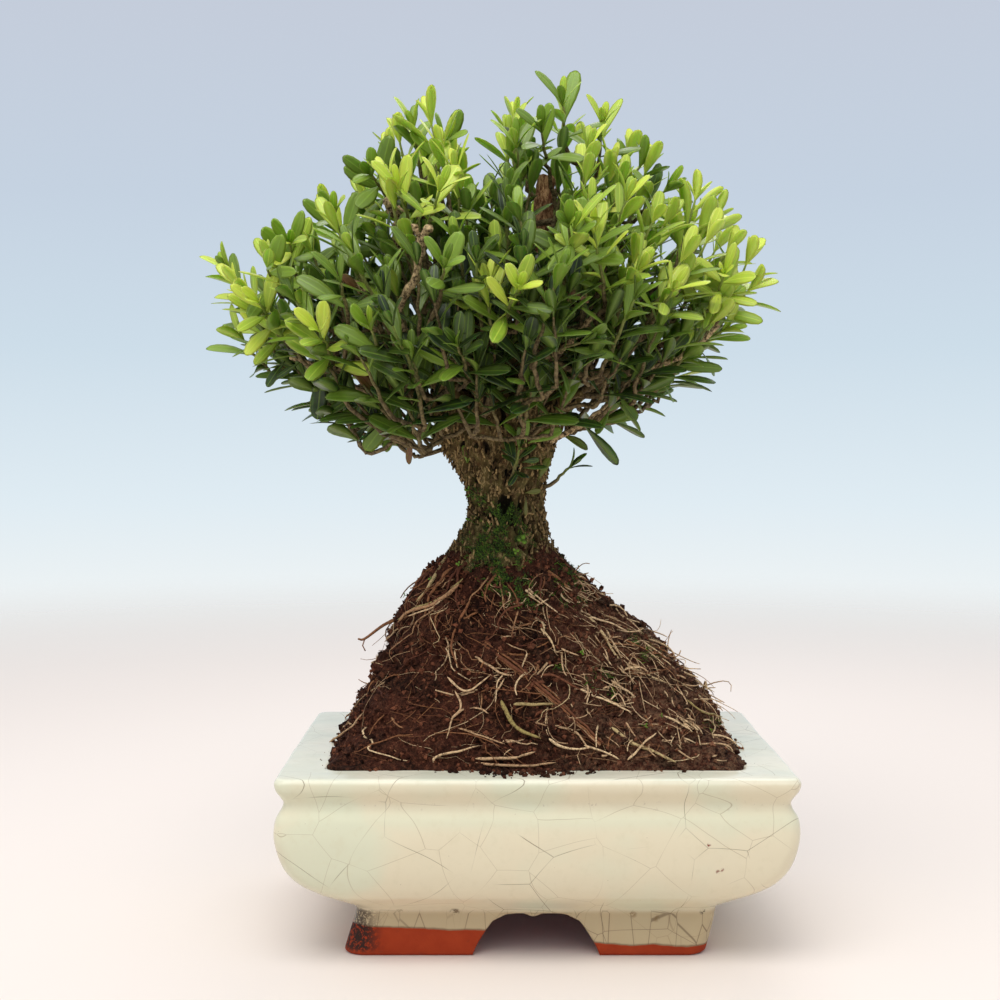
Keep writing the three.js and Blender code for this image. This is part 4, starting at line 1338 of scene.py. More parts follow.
def roots_mesh():
    soup = Soup()
    for thick, tone, lift, pixels in PHOTO_ROOTS:
        places = [on_mound(pixel, 2.4 + 0.4 * thick) for pixel in pixels]
        line = spline(places, 6 * len(places))
        line[:, 1] -= lift * np.linspace(0, 1, len(line)) ** 2
        line += 0.35 * wobble(line, 6, 9.0)
        share = np.linspace(0, 1, len(line))
        ends = np.clip(9 * np.minimum(share + 0.03, 1.03 - share), 0.3, 1)
        knots = 1 + 0.18 * fractal(line, 3, 2) + 0.12 * fractal(line, 1.2, 2)
        points, faces = tube(line, 0.85 * thick * (1 - 0.4 * share) * ends * knots, 8)
        soup.add(points, faces, tone=tone)
    pixels, thick = MAIN_ROOT
    middle = spline([on_mound(pixel, 3.2) for pixel in pixels], 34)
    ahead = unit(np.gradient(middle, axis=0))
    upward = unit(np.cross(ahead, np.cross([0, -0.8, 0.6], ahead)))
    for strand in range(7):
        turns = strand / 7 * FULL_TURN + np.linspace(0, 2.2, 34) + 0.5 * RANDOM.rand()
        off = np.cos(turns)[:, None] * np.cross(ahead, upward) + np.sin(turns)[:, None] * upward
        line = middle + 0.8 * thick * off + 0.5 * wobble(middle, 5, 3.0, strand)
        points, faces = tube(line, (0.25 + 0.4 * RANDOM.rand()) * thick * np.linspace(1, 0.5, 34), 5)
        soup.add(points, faces, tone=0.25 + 0.45 * RANDOM.rand())
    straws(soup)
    for number in range(WILD_ROOTS):
        kind = RANDOM.rand()
        thick = 0.1 + 0.4 * RANDOM.rand() ** 5
        top = 70 + 58 * RANDOM.rand() ** 0.8
        drop = (5 + 20 * RANDOM.rand()) * (0.15 if kind < 0.4 else 1)
        steps = 9
        line = wild_root(RANDOM.rand() * FULL_TURN, top, min(drop, top - 66), 0.42, thick, 2.0, steps)
        if number % 7 == 0:
            line[-3:] += unit(line[-1] - [0, 0, line[-1, 2]]) * np.array([[0.8], [2.0], [3.2]])
        points, faces = tube(spline(line, 13), thick * np.linspace(1, 0.45, 13), 3)
        pick = RANDOM.rand()
        darkest, span = (0.1, 0.35) if pick < 0.45 else (0.5, 0.4)
        soup.add(points, faces, tone=darkest + span * RANDOM.rand())
    # Rough roots that flare from the trunk in bundles, half sunk
    for number in range(FLARING_ROOTS):
        turn = (number // 3 + 0.5 + 0.12 * (number % 3)) / 9 * FULL_TURN + 0.1 * RANDOM.rand()
        drop = 12 + 18 * RANDOM.rand()
        thick = 0.3 + 0.4 * RANDOM.rand()
        line = spline(wild_root(turn, 134, drop, 0.25, thick, 0.5, 8), 28)
        knots = 1 + 0.3 * fractal(line, 2.5, 2) + 0.2 * fractal(line, 1, 2)
        line += 0.5 * wobble(line, 4, 6.0)
        points, faces = tube(line, thick * np.linspace(1.1, 0.4, 28) * knots, 6)
        soup.add(points, faces, tone=0.25 + 0.4 * RANDOM.rand())
    # The long free root on the left, with its forked end
    near = on_mound((400, 618), 0)
    line = near + np.array([[0, 0, 0], [-6, -1, -2.5], [-13, -2, -7.5], [-15.5, -2, -7.6]])
    points, faces = tube(spline(line, 16), np.linspace(0.7, 0.35, 16), 6)
    soup.add(points, faces, tone=0.55)
    fork = line[2] + np.array([[0, 0, 0], [-0.8, -0.5, -2.5], [0.2, -0.5, -4.5]])
    points, faces = tube(fork, 0.25, 5)
    soup.add(points, faces, tone=0.55)
    return soup.mesh("surface_roots")


# Trunk and crown


def trunk_point(turn, height, grow=0.0):
    middle, radius = (np.interp(height, TRUNK[:, 0], TRUNK[:, k]) for k in (1, 2))
    swell = np.where(height <= GROUND_LINE, 0, 0.07 * radius * np.sin(3 * turn + 0.05 * height))
    out = radius + swell + grow
    return np.stack([middle + out * np.cos(turn), out * np.sin(turn), height + 0 * turn], -1)


def heading(azimuth, elevation):
    level = math.cos(elevation)
    return np.array([level * math.cos(azimuth), level * math.sin(azimuth), math.sin(elevation)])


def reach(direction):
    """How far the crown's outline lies from the fork in a direction, or in each of many."""
    x, y, z = np.moveaxis(np.asarray(direction, float), -1, 0)
    elevation = np.degrees(np.arcsin(np.clip(z, -1, 1)))
    azimuth = np.arctan2(y, x)
    level = np.cos(np.radians(elevation))
    brim = 3 * np.cos(azimuth)
    dome = 42 + 80 * smoothstep(elevation, brim - 2, brim + 33)
    top = 10 * smoothstep(elevation, 62, 78)
    lean = np.degrees(np.arctan2(z, x))
    waves = sum(rise * np.exp(-(((lean - middle) / spread) ** 2)) for middle, spread, rise in CROWN_WAVES)
    lobes = 5 * level * np.sin(3 * azimuth + 1.2) - 9 * level * np.cos(azimuth)
    return (dome + top + waves + lobes) * (1 - 0.1 * level * np.abs(np.sin(azimuth)))


def on_crown(pixel, share):
    """Where the camera's line through a pixel meets the crown's outline, drawn in to a share of its size."""
    points = CAMERA_PLACE + np.linspace(450, 680, 460)[:, None] * sight_line(pixel)
    away = points - FORK
    depth = np.linalg.norm(away, axis=1) / (share * reach(unit(away)))
    inside = np.nonzero(depth < 1)[0]
    return points[inside[0] if len(inside) else depth.argmin()]


def crown_boughs():
    boughs = []
    for tier in TIERS:
        for i in range(tier["count"]):
            azimuth = math.radians(tier["first"] + 360 / tier["count"] * i)
            lift = tier["lift"] * abs(math.sin(azimuth))
            elevation = math.radians(tier["elevation"] + lift + (4 if i % 2 else -3))
            along = heading(azimuth, elevation)
            start = FORK + 8 * np.array([along[0], along[1], 0])
            end = FORK + along * (reach(along) - BOUGH_STOP)
            middle = (start + end) / 2 + UP * (80 - tier["elevation"]) * 0.08
            boughs.append({**tier, "along": along, "curve": (start, middle, end)})
    return boughs


def sampled(curve):
    shares = np.linspace(0, 1, LIMB_SAMPLES + 1)
    if len(curve) == 3:
        return bezier(*curve, shares)
    return curve[0] + shares[:, None] * (curve[1] - curve[0])


def crowded(points, taken):
    if not len(taken):
        return False
    taken = np.concatenate(taken)
    return bool((np.linalg.norm(points[:, None] - taken[None], axis=-1) < LIMB_ROOM).any())


def stem_at(bough, turn, along):
    level = unit(np.cross(UP, bough["along"]))
    rise = np.cross(bough["along"], level)
    spread = math.tan(STEM_SPREAD)
    out = unit(bough["along"] + level * spread * math.cos(turn) + rise * spread * math.sin(turn))
    out[2] = max(out[2], LOWEST_STEM[0] + LOWEST_STEM[1] * abs(out[1]))
    out = unit(out)
    direction = unit(out + UP * STEM_RISE)
    tip = FORK + out * (reach(out) - LEAF_OVERHANG)
    base = tip - direction * STEM_LENGTH
    end = base - direction * CLEARANCE
    start = bezier(*bough["curve"], along)
    middle = end - direction * 0.5 * np.linalg.norm(start - end)
    return {"direction": direction, "line": (base, tip), "twig": (start, middle, end)}


def crown_stems(boughs):
    """The leafy stems of the solids, in their order."""
    stems = []
    leader = tuple(np.array(PRUNED_LEADER[key], float) for key in ("start", "end"))
    woody = [sampled(leader)] + [sampled(bough["curve"]) for bough in boughs]
    for number, bough in enumerate(boughs):
        for k in range(bough["stems"]):
            for attempt in range(STEM_TURNS):
                turn = (k / bough["stems"] + 0.07 * number + attempt / STEM_TURNS) * FULL_TURN
                stem = stem_at(bough, turn, 1 - 0.15 * k)
                if (stem["twig"][2] - stem["twig"][0]).dot(stem["direction"]) < TWIG_ADVANCE:
                    continue
                lines = [sampled(other["line"]) for other in stems]
                twigs = [sampled(other["twig"]) for other in stems]
                if crowded(sampled(stem["line"]), woody + lines + twigs):
                    continue
                if crowded(sampled(stem["twig"]), lines):
                    continue
                stems.append({**stem, "number": number, "pairs": STEM_PAIRS})
                break
    return stems


def trunk_shoot(turn, height, length, rise, pairs, leaf_size):
    base = trunk_point(turn, height, 4)
    direction = unit([math.cos(turn), math.sin(turn), rise])
    end = base - direction * CLEARANCE
    start = trunk_point(turn, height - 3, -4)
    middle = end - direction * 0.5 * np.linalg.norm(start - end)
    return {
        "direction": direction,
        "line": (base, base + direction * length),
        "twig": (start, middle, end),
        "number": 0,
        "pairs": pairs,
        "leaf_size": leaf_size,
        "thick": 0.9,
    }


def first_normal(direction):
    """The side that a straight stem's leaves are turned from."""
    axis = np.eye(3)[2 - np.abs(direction)[::-1].argmin()]
    return unit(np.cross(direction, unit(np.cross(direction, axis))))


def turned(vector, axis, angle):
    return (
        vector * math.cos(angle)
        + np.cross(axis, vector) * math.sin(angle)
        + axis * axis.dot(vector) * (1 - math.cos(angle))
    )


def stem_leaves(stem, draw, youth_and_painted_light, extra_pair):
    """One stem's leaves, as rows of root, run, face, scale and a value for youth and painted light.
    extra_pair adds two at its tip.
    """
    base, tip = stem["line"]
    along = stem["direction"]
    sideways = first_normal(along)
    roll = draw() * FULL_TURN
    pairs = stem["pairs"]
    leaf_size = stem.get("leaf_size", 1)
    leaves = []
    for pair in range(pairs + extra_pair):
        share = min((pair + 0.85) / (pairs - 0.05), 1.0)
        terminal = pair >= pairs
        pitch = TERMINAL_PITCH if terminal else LEAF_PITCH[0] + (LEAF_PITCH[1] - LEAF_PITCH[0]) * share**1.5
        pitch += 12 * (draw() - 0.5)
        for opposite in (0, 1):
            scale = leaf_size * (1.04 - 0.26 * share**4) * (0.93 + 0.14 * draw())
            scale *= TERMINAL_SCALE if terminal else 1
            turn = roll + (pair / 4 + opposite / 2) * FULL_TURN
            tilt = math.radians(pitch)
            outward = turned(sideways, along, turn)
            run = along * math.cos(tilt) + outward * math.sin(tilt)
            face = along * math.sin(tilt) - outward * math.cos(tilt)
            root = base + share * (tip - base) - 0.2 * run
            leaves.append((root, run, face, scale, youth_and_painted_light * (0.45 + 0.55 * share)))
    return leaves


def photo_shoots():
    """The shoots that the photograph shows, placed on the crown's outline where the camera saw them."""
    shoots = []
    for base_pixel, tip_pixel, youth_and_painted_light in PHOTO_SHOOTS:
        base = on_crown(base_pixel, 0.74)
        last = on_crown(tip_pixel, 0.97)
        direction = unit(last - base)
        tip = last - direction * 10
        length = float(np.clip(np.linalg.norm(tip - base), 18, 42))
        pairs = int(round(length / 5.6))
        line = (tip - direction * length, tip)
        shoots.append({"direction": direction, "line": line, "pairs": pairs, "youth_and_painted_light": youth_and_painted_light})
    return shoots


def lightness(points):
    """How light the leaves at points are: lighter higher up, and in the photograph's light patches. This is
    partly young growth and partly painted light and shade.
    """
    near_side = patches(seen_at(points), LIGHT_SPOTS)
    height = unit(points - FORK)[..., 2]
    far_side = smoothstep(points[..., 1], 0, 30)
    patchy = 0.4 * fractal(points, 40, 2, 11.0)
    # Lighter towards the top: young growth there, and painted light from above
    base = 0.08 + 0.34 * smoothstep(height, 0.25, 0.9)
    return np.clip(base + near_side * (1 - far_side) + far_side * (0.12 + patchy), 0, 1)


def in_gap(points):
    """Whether points lie where the photograph shows wood or sky between the leaves."""
    pixels = seen_at(points)
    near = points[..., 1] < 12
    hidden = np.zeros(near.shape, bool)
    for middle, spread, sky in PHOTO_GAPS:
        hidden |= (spot(pixels, middle, spread) > 0.37) & (near | sky)
    return hidden


def leaves_a_gap_free(leaf):
    """Whether a blade stays out of the gaps."""
    root, run, face, scale = leaf[:4]
    along = np.array([[0.4], [0.7], [0.95]]) * LEAF_LENGTH * scale
    return not in_gap(root + along * run).any()


def extra_shoots(taken):
    """More leafy shoots, in shells from the crown's outline inwards, where the tips of others leave room."""
    taken = list(taken)
    shoots = []
    for shell in GREEN_SHELLS:
        for k in range(SHELL_TRIES):
            elevation = math.asin(0.12 + 0.88 * (k + 0.5) / SHELL_TRIES)
            azimuth = k * GOLDEN_ANGLE
            out = unit(heading(azimuth, elevation) + 0.05 * RANDOM.normal(size=3))
            uneven = shell["uneven"] * (0.5 + 0.5 * fractal(out[None] * 100, 34, 1)[0] + 0.4 * RANDOM.rand())
            far = (reach(out) - LEAF_OVERHANG + 2) * shell["share"] * (1 - uneven)
            tip = FORK + out * far
            if far < 30 or np.linalg.norm(np.array(taken) - tip, axis=1).min() < shell["spacing"]:
                continue
            direction = unit(out + UP * SHOOT_RISE + 0.2 * RANDOM.normal(size=3))
            length = 18 + 13 * RANDOM.rand()
            foot = tip - direction * length * 0.7 - UP * 7
            pixels = seen_at(np.array([tip + direction * 11, foot, tip]))
            if not within(pixels[:2], CROWN_OUTLINE).all() or in_gap(np.array([tip, foot])).any():
                continue
            taken.append(tip)
            line = (tip - direction * length, tip)
            # Darker in the inner shells: older leaves, and painted shade inside the crown
            youth_and_painted_light = float(np.clip(lightness(tip) * shell["share"] ** 3 + 0.13 * RANDOM.normal(), 0, 1))
            pairs = int(length / 5.2)
            shoots.append({"direction": direction, "line": line, "pairs": pairs, "youth_and_painted_light": youth_and_painted_light})
    return shoots


def join_to_wood(shoots, boughs, stems):
    """Gives each shoot a twig from the nearest wood behind it, nearest shoots first."""
    wood = [bezier(*bough["curve"], np.linspace(0, 1, 16)) for bough in boughs]
    owner = [np.full(16, number) for number in range(len(boughs))]
    for stem in stems:
        wood.append(bezier(*stem["twig"], np.linspace(0.2, 1, 6)))
        owner.append(np.full(6, stem["number"]))
    points, owners = np.concatenate(wood), np.concatenate(owner)
    order = sorted(range(len(shoots)), key=lambda i: np.linalg.norm(shoots[i]["line"][0] - FORK))
    for i in order:
        shoot = shoots[i]
        base = shoot["line"][0]
        away = base - points
        gap = np.linalg.norm(away, axis=1)
        ahead = (away @ shoot["direction"]) / np.maximum(gap, 1e-6)
        cost = gap * (1.6 - 0.9 * ahead) + 30 * (gap < 2.5)
        best = int(cost.argmin())
        start = points[best]
        middle = base - shoot["direction"] * 0.45 * gap[best]
        middle = 0.5 * middle + 0.25 * (start + base)
        middle[2] = max(middle[2], min(start[2], base[2]) - 1)
        shoot["twig"] = (start, middle, base)
        shoot["number"] = int(owners[best])
        new = bezier(*shoot["twig"], np.linspace(0.35, 1, 5))
        points = np.vstack([points, new])
        owners = np.append(owners, np.full(5, shoot["number"]))


def leaf_soup(soup, leaves, tone, dead):
    """Adds blades for rows of (root, run, face, scale), with how light each is and how dry."""
    count = len(leaves)
    root, run, face = (np.array([leaf[k] for leaf in leaves]) for k in range(3))
    scale = np.array([leaf[3] for leaf in leaves])
    spin = np.radians(RANDOM.normal(size=count) * 9)[:, None]
    side = np.cross(face, run)
    side, face = side * np.cos(spin) + face * np.sin(spin), face * np.cos(spin) - side * np.sin(spin)
    length = (LEAF_LENGTH * scale * (0.82 + 0.26 * RANDOM.rand(count)))[:, None, None]
    width = (LEAF_WIDTH * scale * (0.8 + 0.4 * RANDOM.rand(count)))[:, None, None]
    bend = (LEAF_BEND * (0.2 + 1.9 * RANDOM.rand(count)) + 0.25 * dead)[:, None, None]
    cup = (-0.05 + 0.4 * RANDOM.rand(count) + 0.5 * dead)[:, None, None]
    across = np.array([-1, -0.55, 0, 0.55, 1])
    share = np.repeat(LEAF_STATIONS[None, :, None], 5, axis=2) + np.zeros((count, 1, 1))
    share[:, -1, :] = 1 - 0.012 * np.abs(across)
    half = 0.5 * width * LEAF_HALF_WIDTHS[None, :, None]
    rise = cup * half * np.abs(across) ** 1.3 - bend * share**2 * length
    body = LEAF_THICKNESS * 0.5 * (1 - across**2) * smoothstep(LEAF_STATIONS, -0.1, 0.15)[:, None]
    body = body * (1 - 0.6 * LEAF_STATIONS[:, None])

    def placed(lift):
        return (
            root[:, None, None]
            + run[:, None, None] * (share * length)[..., None]
            + side[:, None, None] * (half * across)[..., None]
            + face[:, None, None] * (rise + lift)[..., None]
        )

    # The upper side has five columns. The lower side shares its edges and has one more column, the midrib
    rows = len(LEAF_STATIONS)
    upper = placed(body).reshape(count, -1, 3)
    lower = placed(-body)[:, 1:-1, 2]
    index = np.arange(rows * 5).reshape(rows, 5)
    back = np.column_stack([index[1:-1, 0], rows * 5 + np.arange(rows - 2), index[1:-1, 4]])
    tops = np.stack([index[:-1, :-1], index[:-1, 1:], index[1:, 1:], index[1:, :-1]], -1).reshape(-1, 4)
    unders = np.stack([back[:-1, :-1], back[1:, :-1], back[1:, 1:], back[:-1, 1:]], -1).reshape(-1, 4)
    root_end, tip_end = index[0], index[-1]
    ends = np.array([
        [root_end[2], root_end[1], root_end[0], back[0, 0], back[0, 1]],
        [root_end[4], root_end[3], root_end[2], back[0, 1], back[0, 2]],
        [tip_end[0], tip_end[1], tip_end[2], back[-1, 1], back[-1, 0]],
        [tip_end[2], tip_end[3], tip_end[4], back[-1, 2], back[-1, 1]],
    ])
    points = np.concatenate([upper, lower], axis=1)
    size = points.shape[1]
    shift = size * np.arange(count)[:, None, None]
    faces = [(shape[None] + shift).reshape(-1, shape.shape[1]) for shape in (tops, unders, ends)]
    rim = np.zeros((rows, 5))
    rim[:, [0, -1]] = 0.5
    under = np.concatenate([rim.ravel(), np.ones(rows - 2)])
    place = np.concatenate([np.tile(across, rows), np.zeros(rows - 2)])
    soup.add(points, faces, tone=np.repeat(tone, size), dead=np.repeat(dead, size),
             under=np.tile(under, count), across=np.tile(place, count))


def wood_mesh(boughs):
    """Trunk, pruned leader and boughs grown into one skin, with corky bark."""
    soup = Soup()
    rows, columns = 64, 72
    heights = np.linspace(TRUNK[0, 0], TRUNK[-1, 0], rows)
    turns = np.arange(columns) / columns * FULL_TURN
    grid = trunk_point(turns[None, :] + 0 * heights[:, None], heights[:, None] + 0 * turns[None, :])
    soup.add(*closed_skin(grid, [TRUNK[0, 1], 0, heights[0]], [TRUNK[-1, 1], 0, heights[-1]]))
    leader = spline([PRUNED_LEADER["start"], [-4, 3, 215], [2, 5, 248], PRUNED_LEADER["end"]], 24)
    soup.add(*tube(leader, np.linspace(PRUNED_LEADER["thick"], PRUNED_LEADER["thin"] - 0.6, 24), 14))
    for bough in boughs:
        line = bezier(*bough["curve"], np.linspace(0, 1, 18))
        line += 1.1 * wobble(line, 14, 7.0)
        soup.add(*tube(line, np.linspace(bough["thick"] * 1.05, BOUGH_TIP_RADIUS, 18), 10))
    wood = in_scene("wood", soup.mesh("trunk_bark"))
    remesh = wood.modifiers.new("skin", "REMESH")
    remesh.mode = "VOXEL"
    remesh.voxel_size = BARK_VOXEL * MM
    relax = wood.modifiers.new("relax", "SMOOTH")
    relax.iterations = 2
    applied(wood)
    mesh = wood.data
    bpy.data.objects.remove(wood)
    points = np.zeros(3 * len(mesh.vertices))
    mesh.vertices.foreach_get("co", points)
    points = (points.reshape(-1, 3) - POT_CENTRE) / MM
    normals = np.zeros(3 * len(mesh.vertices))
    mesh.vertices.foreach_get("normal", normals)
    normals = normals.reshape(-1, 3)
    squeezed = points * [1, 1, 0.42]
    ridge = 1 - np.abs(fractal(squeezed, 5.5, 3)) * 1.8
    flakes = 1.2 * fractal(squeezed, 2.4, 3, 4.0)
    size = np.interp(np.linalg.norm(points[:, :2] - FORK[:2], axis=1), [17, 30], [1, 0.35])
    size = np.where(points[:, 2] > 196, 0.35, size)
    pixels = seen_at(points)
    front = smoothstep(-points[:, 1], -6, 4)
    hollow = spot(pixels, *TRUNK_HOLLOW) * front
    depth = 2.3 * ridge - 1.5 + 1.1 * flakes
    moved = points + normals * (size * depth - 2 * hollow)[:, None]
    mesh.vertices.foreach_set("co", (moved * MM + POT_CENTRE).astype(np.float32).ravel())
    mesh.update()
    moss = patches(pixels, MOSS_SPOTS) * front
    # Tone: lighter on raised bark and flakes, darker in the furrows and most in the hollow; partly the
    # bark's own colour, partly painted shade in the recesses
    tone = np.clip(0.5 + 0.5 * ridge + 0.4 * flakes - 0.7 * hollow, 0, 1)
    leader = [np.interp(points[:, 2], [180, 215, 248, 276], line) for line in ((-9, -4, 2, 5), (4, 3, 5, 6))]
    from_leader = np.hypot(points[:, 0] - leader[0], points[:, 1] - leader[1])
    cut_wood = smoothstep(points[:, 2], 205, 222) * smoothstep(-from_leader, -10, -6)
    hold(mesh, {"ridge": tone, "moss": np.clip(moss, 0, 1), "cut_wood": cut_wood})
    mesh.polygons.foreach_set("use_smooth", np.ones(len(mesh.polygons), bool))
    return mesh


def flakes_mesh():
    """Thin chips of loose bark on the trunk, most of them upright."""
    soup = Soup()
    count = FLAKE_COUNT
    turns = RANDOM.rand(count) * FULL_TURN
    heights = 131 + 60 * RANDOM.rand(count) ** 0.8
    places = trunk_point(turns, heights, 0.6 + 0.7 * RANDOM.rand(count))
    pixels = seen_at(places)
    front = (places[:, 1] < 0).astype(float)
    mossy = patches(pixels, MOSS_SPOTS) * front
    kept = (mossy < 0.3 + 0.4 * RANDOM.rand(count)) & (spot(pixels, *TRUNK_HOLLOW) * front < 0.3)
    places, turns = places[kept], turns[kept]
    out = np.stack([np.cos(turns), np.sin(turns), 0.25 * RANDOM.normal(size=len(turns))], -1)
    out = unit(out + 0.3 * RANDOM.normal(size=out.shape))
    up = unit(UP + 0.35 * RANDOM.normal(size=out.shape))
    side = unit(np.cross(up, out))
    up = np.cross(out, side)
    wide = 0.16 + 0.34 * RANDOM.rand(len(turns))
    tall = 0.5 + 1.3 * RANDOM.rand(len(turns)) ** 1.5
    axes = np.stack([side * wide[:, None], out * 0.22, up * tall[:, None]], 1)
    chip = np.array([
        (-0.8, -1, -0.7), (0.9, -1, -1), (0.5, -1, 1), (-0.6, -1, 0.6),
        (-1, 1, -0.8), (0.8, 1.2, -0.9), (0.9, 0.8, 0.8), (-0.5, 1.4, 1),
    ])
    faces = np.array([(0, 1, 5, 4), (1, 2, 6, 5), (2, 3, 7, 6), (3, 0, 4, 7), (4, 5, 6, 7), (3, 2, 1, 0)])
    soup.scatter((chip, [faces]), places, axes, tone=RANDOM.rand(len(turns)) ** 1.3)
    return soup.mesh("bark_flakes", smooth=False)


def twigs_mesh(boughs, stems, shoots):
    soup = Soup()
    for twig_set, main in ((stems, True), (shoots, False)):
        for stem in twig_set:
            start, middle, end = stem["twig"]
            base, tip = stem["line"]
            middle = 0.5 * middle + 0.25 * (start + end)
            middle = np.append(middle[:2], max(middle[2], min(start[2], end[2]) - 1))
            rows = 7
            line = bezier(start, middle, end, np.linspace(0, 1, rows))
            span = np.linalg.norm(end - start)
            thick = stem.get("thick", TWIG_RADIUS) if main else min(0.65 + 0.012 * span, 1.1)
            whole = np.vstack([line, base + np.linspace(0.15, 1, 7)[:, None] * (tip - base)])
            whole[1:-1] += 0.3 * RANDOM.normal(size=(len(whole) - 2, 3))
            radii = np.concatenate([np.linspace(thick, 0.8, rows), np.linspace(0.75, 0.4, 7)])
            points, faces = tube(whole, radii, 6)
            # Green tips of the shoots, set by the same value of youth and painted light
            youth_and_painted_light = stem.get("youth_and_painted_light", 0.8)
            green = np.concatenate([np.zeros(rows), youth_and_painted_light * np.linspace(0.05, 1, 7)])
            bare = 0.25
            soup.add(points, faces, green=np.append(np.repeat(green, 6), [0, youth_and_painted_light]), bare=bare)
    wood = np.concatenate([bezier(*bough["curve"], np.linspace(0.1, 1, 24)) for bough in boughs])
    for joined, near, far, thick, thin, pixels in PHOTO_TWIGS:
        depths = np.linspace(near, far, len(pixels))
        corners = [at_depth(pixel, depth) for pixel, depth in zip(pixels, depths)]
        if joined:
            corners.insert(0, wood[np.linalg.norm(wood - corners[0], axis=1).argmin()])
        line = spline(corners, 5 * len(corners))
        line += 0.3 * RANDOM.normal(size=line.shape)
        line += 0.35 * wobble(line, 4, 5.0)
        knots = 1 + 0.2 * fractal(line, 3, 2, 21.0)
        soup.add(*tube(line, np.linspace(thick, thin, len(line)) * knots, 7), green=0.0, bare=1.0)
    return soup.mesh("twigs")


def hanging_leaves():
    """The single leaves, as rows of root, run, face, scale, dryness and lightness."""
    leaves = []
    for root_pixel, tip_pixel, depth, dry, light in PHOTO_LEAVES:
        root = at_depth(root_pixel, depth)
        tip = at_depth(tip_pixel, depth - 2)
        run = unit(tip - root)
        towards = unit([0.35 * RANDOM.normal(), -1, 0.5 + 0.3 * RANDOM.normal()])
        face = unit(towards - run * run.dot(towards))
        leaves.append((root, run, face, np.linalg.norm(tip - root) / LEAF_LENGTH, dry, light))
    return leaves


# Moss and weeds


def spikes(soup, places, normals, length, width):
    """Fine green points that stand out of a surface."""
    count = len(places)
    along = unit(normals + 0.55 * RANDOM.normal(size=(count, 3)))
    side = unit(np.cross(along, RANDOM.normal(size=(count, 3))))
    other = np.cross(along, side)
    size = length * (0.5 + RANDOM.rand(count))
    shape = np.array([[1, 0, -0.3], [-0.5, 0.87, -0.3], [-0.5, -0.87, -0.3], [0, 0, 1]])
    faces = np.array([[0, 1, 3], [1, 2, 3], [2, 0, 3], [0, 2, 1]])
    axes = np.stack([side * width, other * width, along * size[:, None]], 1)
    soup.scatter((shape, [faces]), places, axes, tone=RANDOM.rand(count) ** 2)


# Moss in the photograph: middle in pixels, spread in pixels, and how thick it is
MOSS_SPOTS = [
    ((508, 586), (20, 15), 1.2),
    ((500, 548), (34, 30), 0.7),
    ((568, 580), (12, 20), 1.0),
    ((575, 600), (12, 12), 0.7),
    ((530, 600), (20, 10), 0.6),
    ((560, 670), (5, 5), 1.0),
    ((600, 678), (12, 12), 1.0),
    ((610, 690), (10, 12), 0.6),
    ((638, 638), (9, 9), 1.0),
    ((648, 652), (14, 10), 0.9),
    ((716, 722), (12, 10), 0.5),
    ((470, 500), (22, 20), 0.3),
    ((508, 512), (10, 8), 0.5),
]
TRUNK_HOLLOW = ((508, 510), (15, 12))


def moss_mesh():
    soup = Soup()
    count = MOSS_TRIES
    turns = math.radians(-88) + np.radians(50) * RANDOM.normal(size=count)
    heights = 66 + 98 * RANDOM.rand(count)
    on_trunk = trunk_point(turns, np.maximum(heights, 112), 0.9)
    on_trunk[:, 2] = heights
    on_peat = mound_point(turns, np.minimum(heights, 136), 1.5)
    centre = np.array([-11.0, 0, 0])
    peat_reach, trunk_reach = (np.linalg.norm((at - centre)[:, :2], axis=1) for at in (on_peat, on_trunk))
    farther = peat_reach > trunk_reach
    places = np.where(((farther & (heights < 136)) | (heights < 112))[:, None], on_peat, on_trunk)
    pixels = seen_at(places)
    chance = patches(pixels, MOSS_SPOTS) * smoothstep(fractal(places, 5, 3, 2.0), -0.45, 0.25)
    places = places[chance > 0.12 + 0.88 * RANDOM.rand(count)]
    normals = unit((places - centre) * [1, 1, 0] + [0, 0, 6])
    spikes(soup, places, normals, 1.3, 0.2)
    return soup.mesh("moss", smooth=False)


# Seedlings in the photograph: pixel, size of a leaflet in millimetres, and how many leaflets
PHOTO_SEEDLINGS = [
    ((522, 544), 2.1, 3),
    ((516, 553), 1.3, 3),
    ((463, 494), 1.4, 3),
    ((456, 500), 1.0, 2),
    ((461, 524), 1.3, 2),
    ((463, 566), 1.1, 3),
    ((412, 597), 1.2, 3),
    ((436, 580), 1.0, 2),
    ((577, 653), 1.1, 3),
    ((655, 716), 1.2, 2),
    ((640, 726), 1.0, 3),
    ((571, 570), 1.2, 3),
]


def weeds_mesh():
    """Tiny seedlings with flat, round leaflets."""
    soup = Soup()
    around = np.arange(10)
    following = (around + 1) % 10
    ring = around / 10 * FULL_TURN
    upper = np.stack([around, following, np.full(10, 10)], -1)
    lower = np.stack([following, around, np.full(10, 11)], -1)
    for number, (pixel, size, leaflets) in enumerate(PHOTO_SEEDLINGS):
        if pixel[1] > 560:
            base = on_mound(pixel, 0.5)
        else:
            across = at_depth(pixel, -14)
            base = trunk_point(math.atan2(-14, across[0] + 10), across[2], 0.6)
        out = unit((base - [-11, 0, base[2]]) + [0, 0, 9])
        tip = base + out * (1.2 + 1.3 * size)
        soup.add(*tube(bezier(base - out, base + UP * 0.6, tip, np.linspace(0, 1, 5)), 0.12, 5), tone=0.5)
        level = unit(np.cross(out, UP))
        steep = np.cross(level, out)
        for k in range(leaflets):
            turn = (k / leaflets + 0.13 * number) * FULL_TURN
            along = unit(level * math.cos(turn) + steep * math.sin(turn) + 0.35 * out)
            beside = unit(np.cross(along, out))
            normal = np.cross(beside, along)
            centre = tip + along * 0.55 * size
            round_it = 1.1 * np.outer(np.cos(ring), along) + 0.85 * np.outer(np.sin(ring), beside)
            disc = centre + 0.5 * size * round_it
            points = np.vstack([disc, centre + 0.10 * normal, centre - 0.10 * normal])
            soup.add(points, [np.vstack([upper, lower])], tone=0.75 + 0.25 * RANDOM.rand())
    return soup.mesh("seedlings")


# Studio


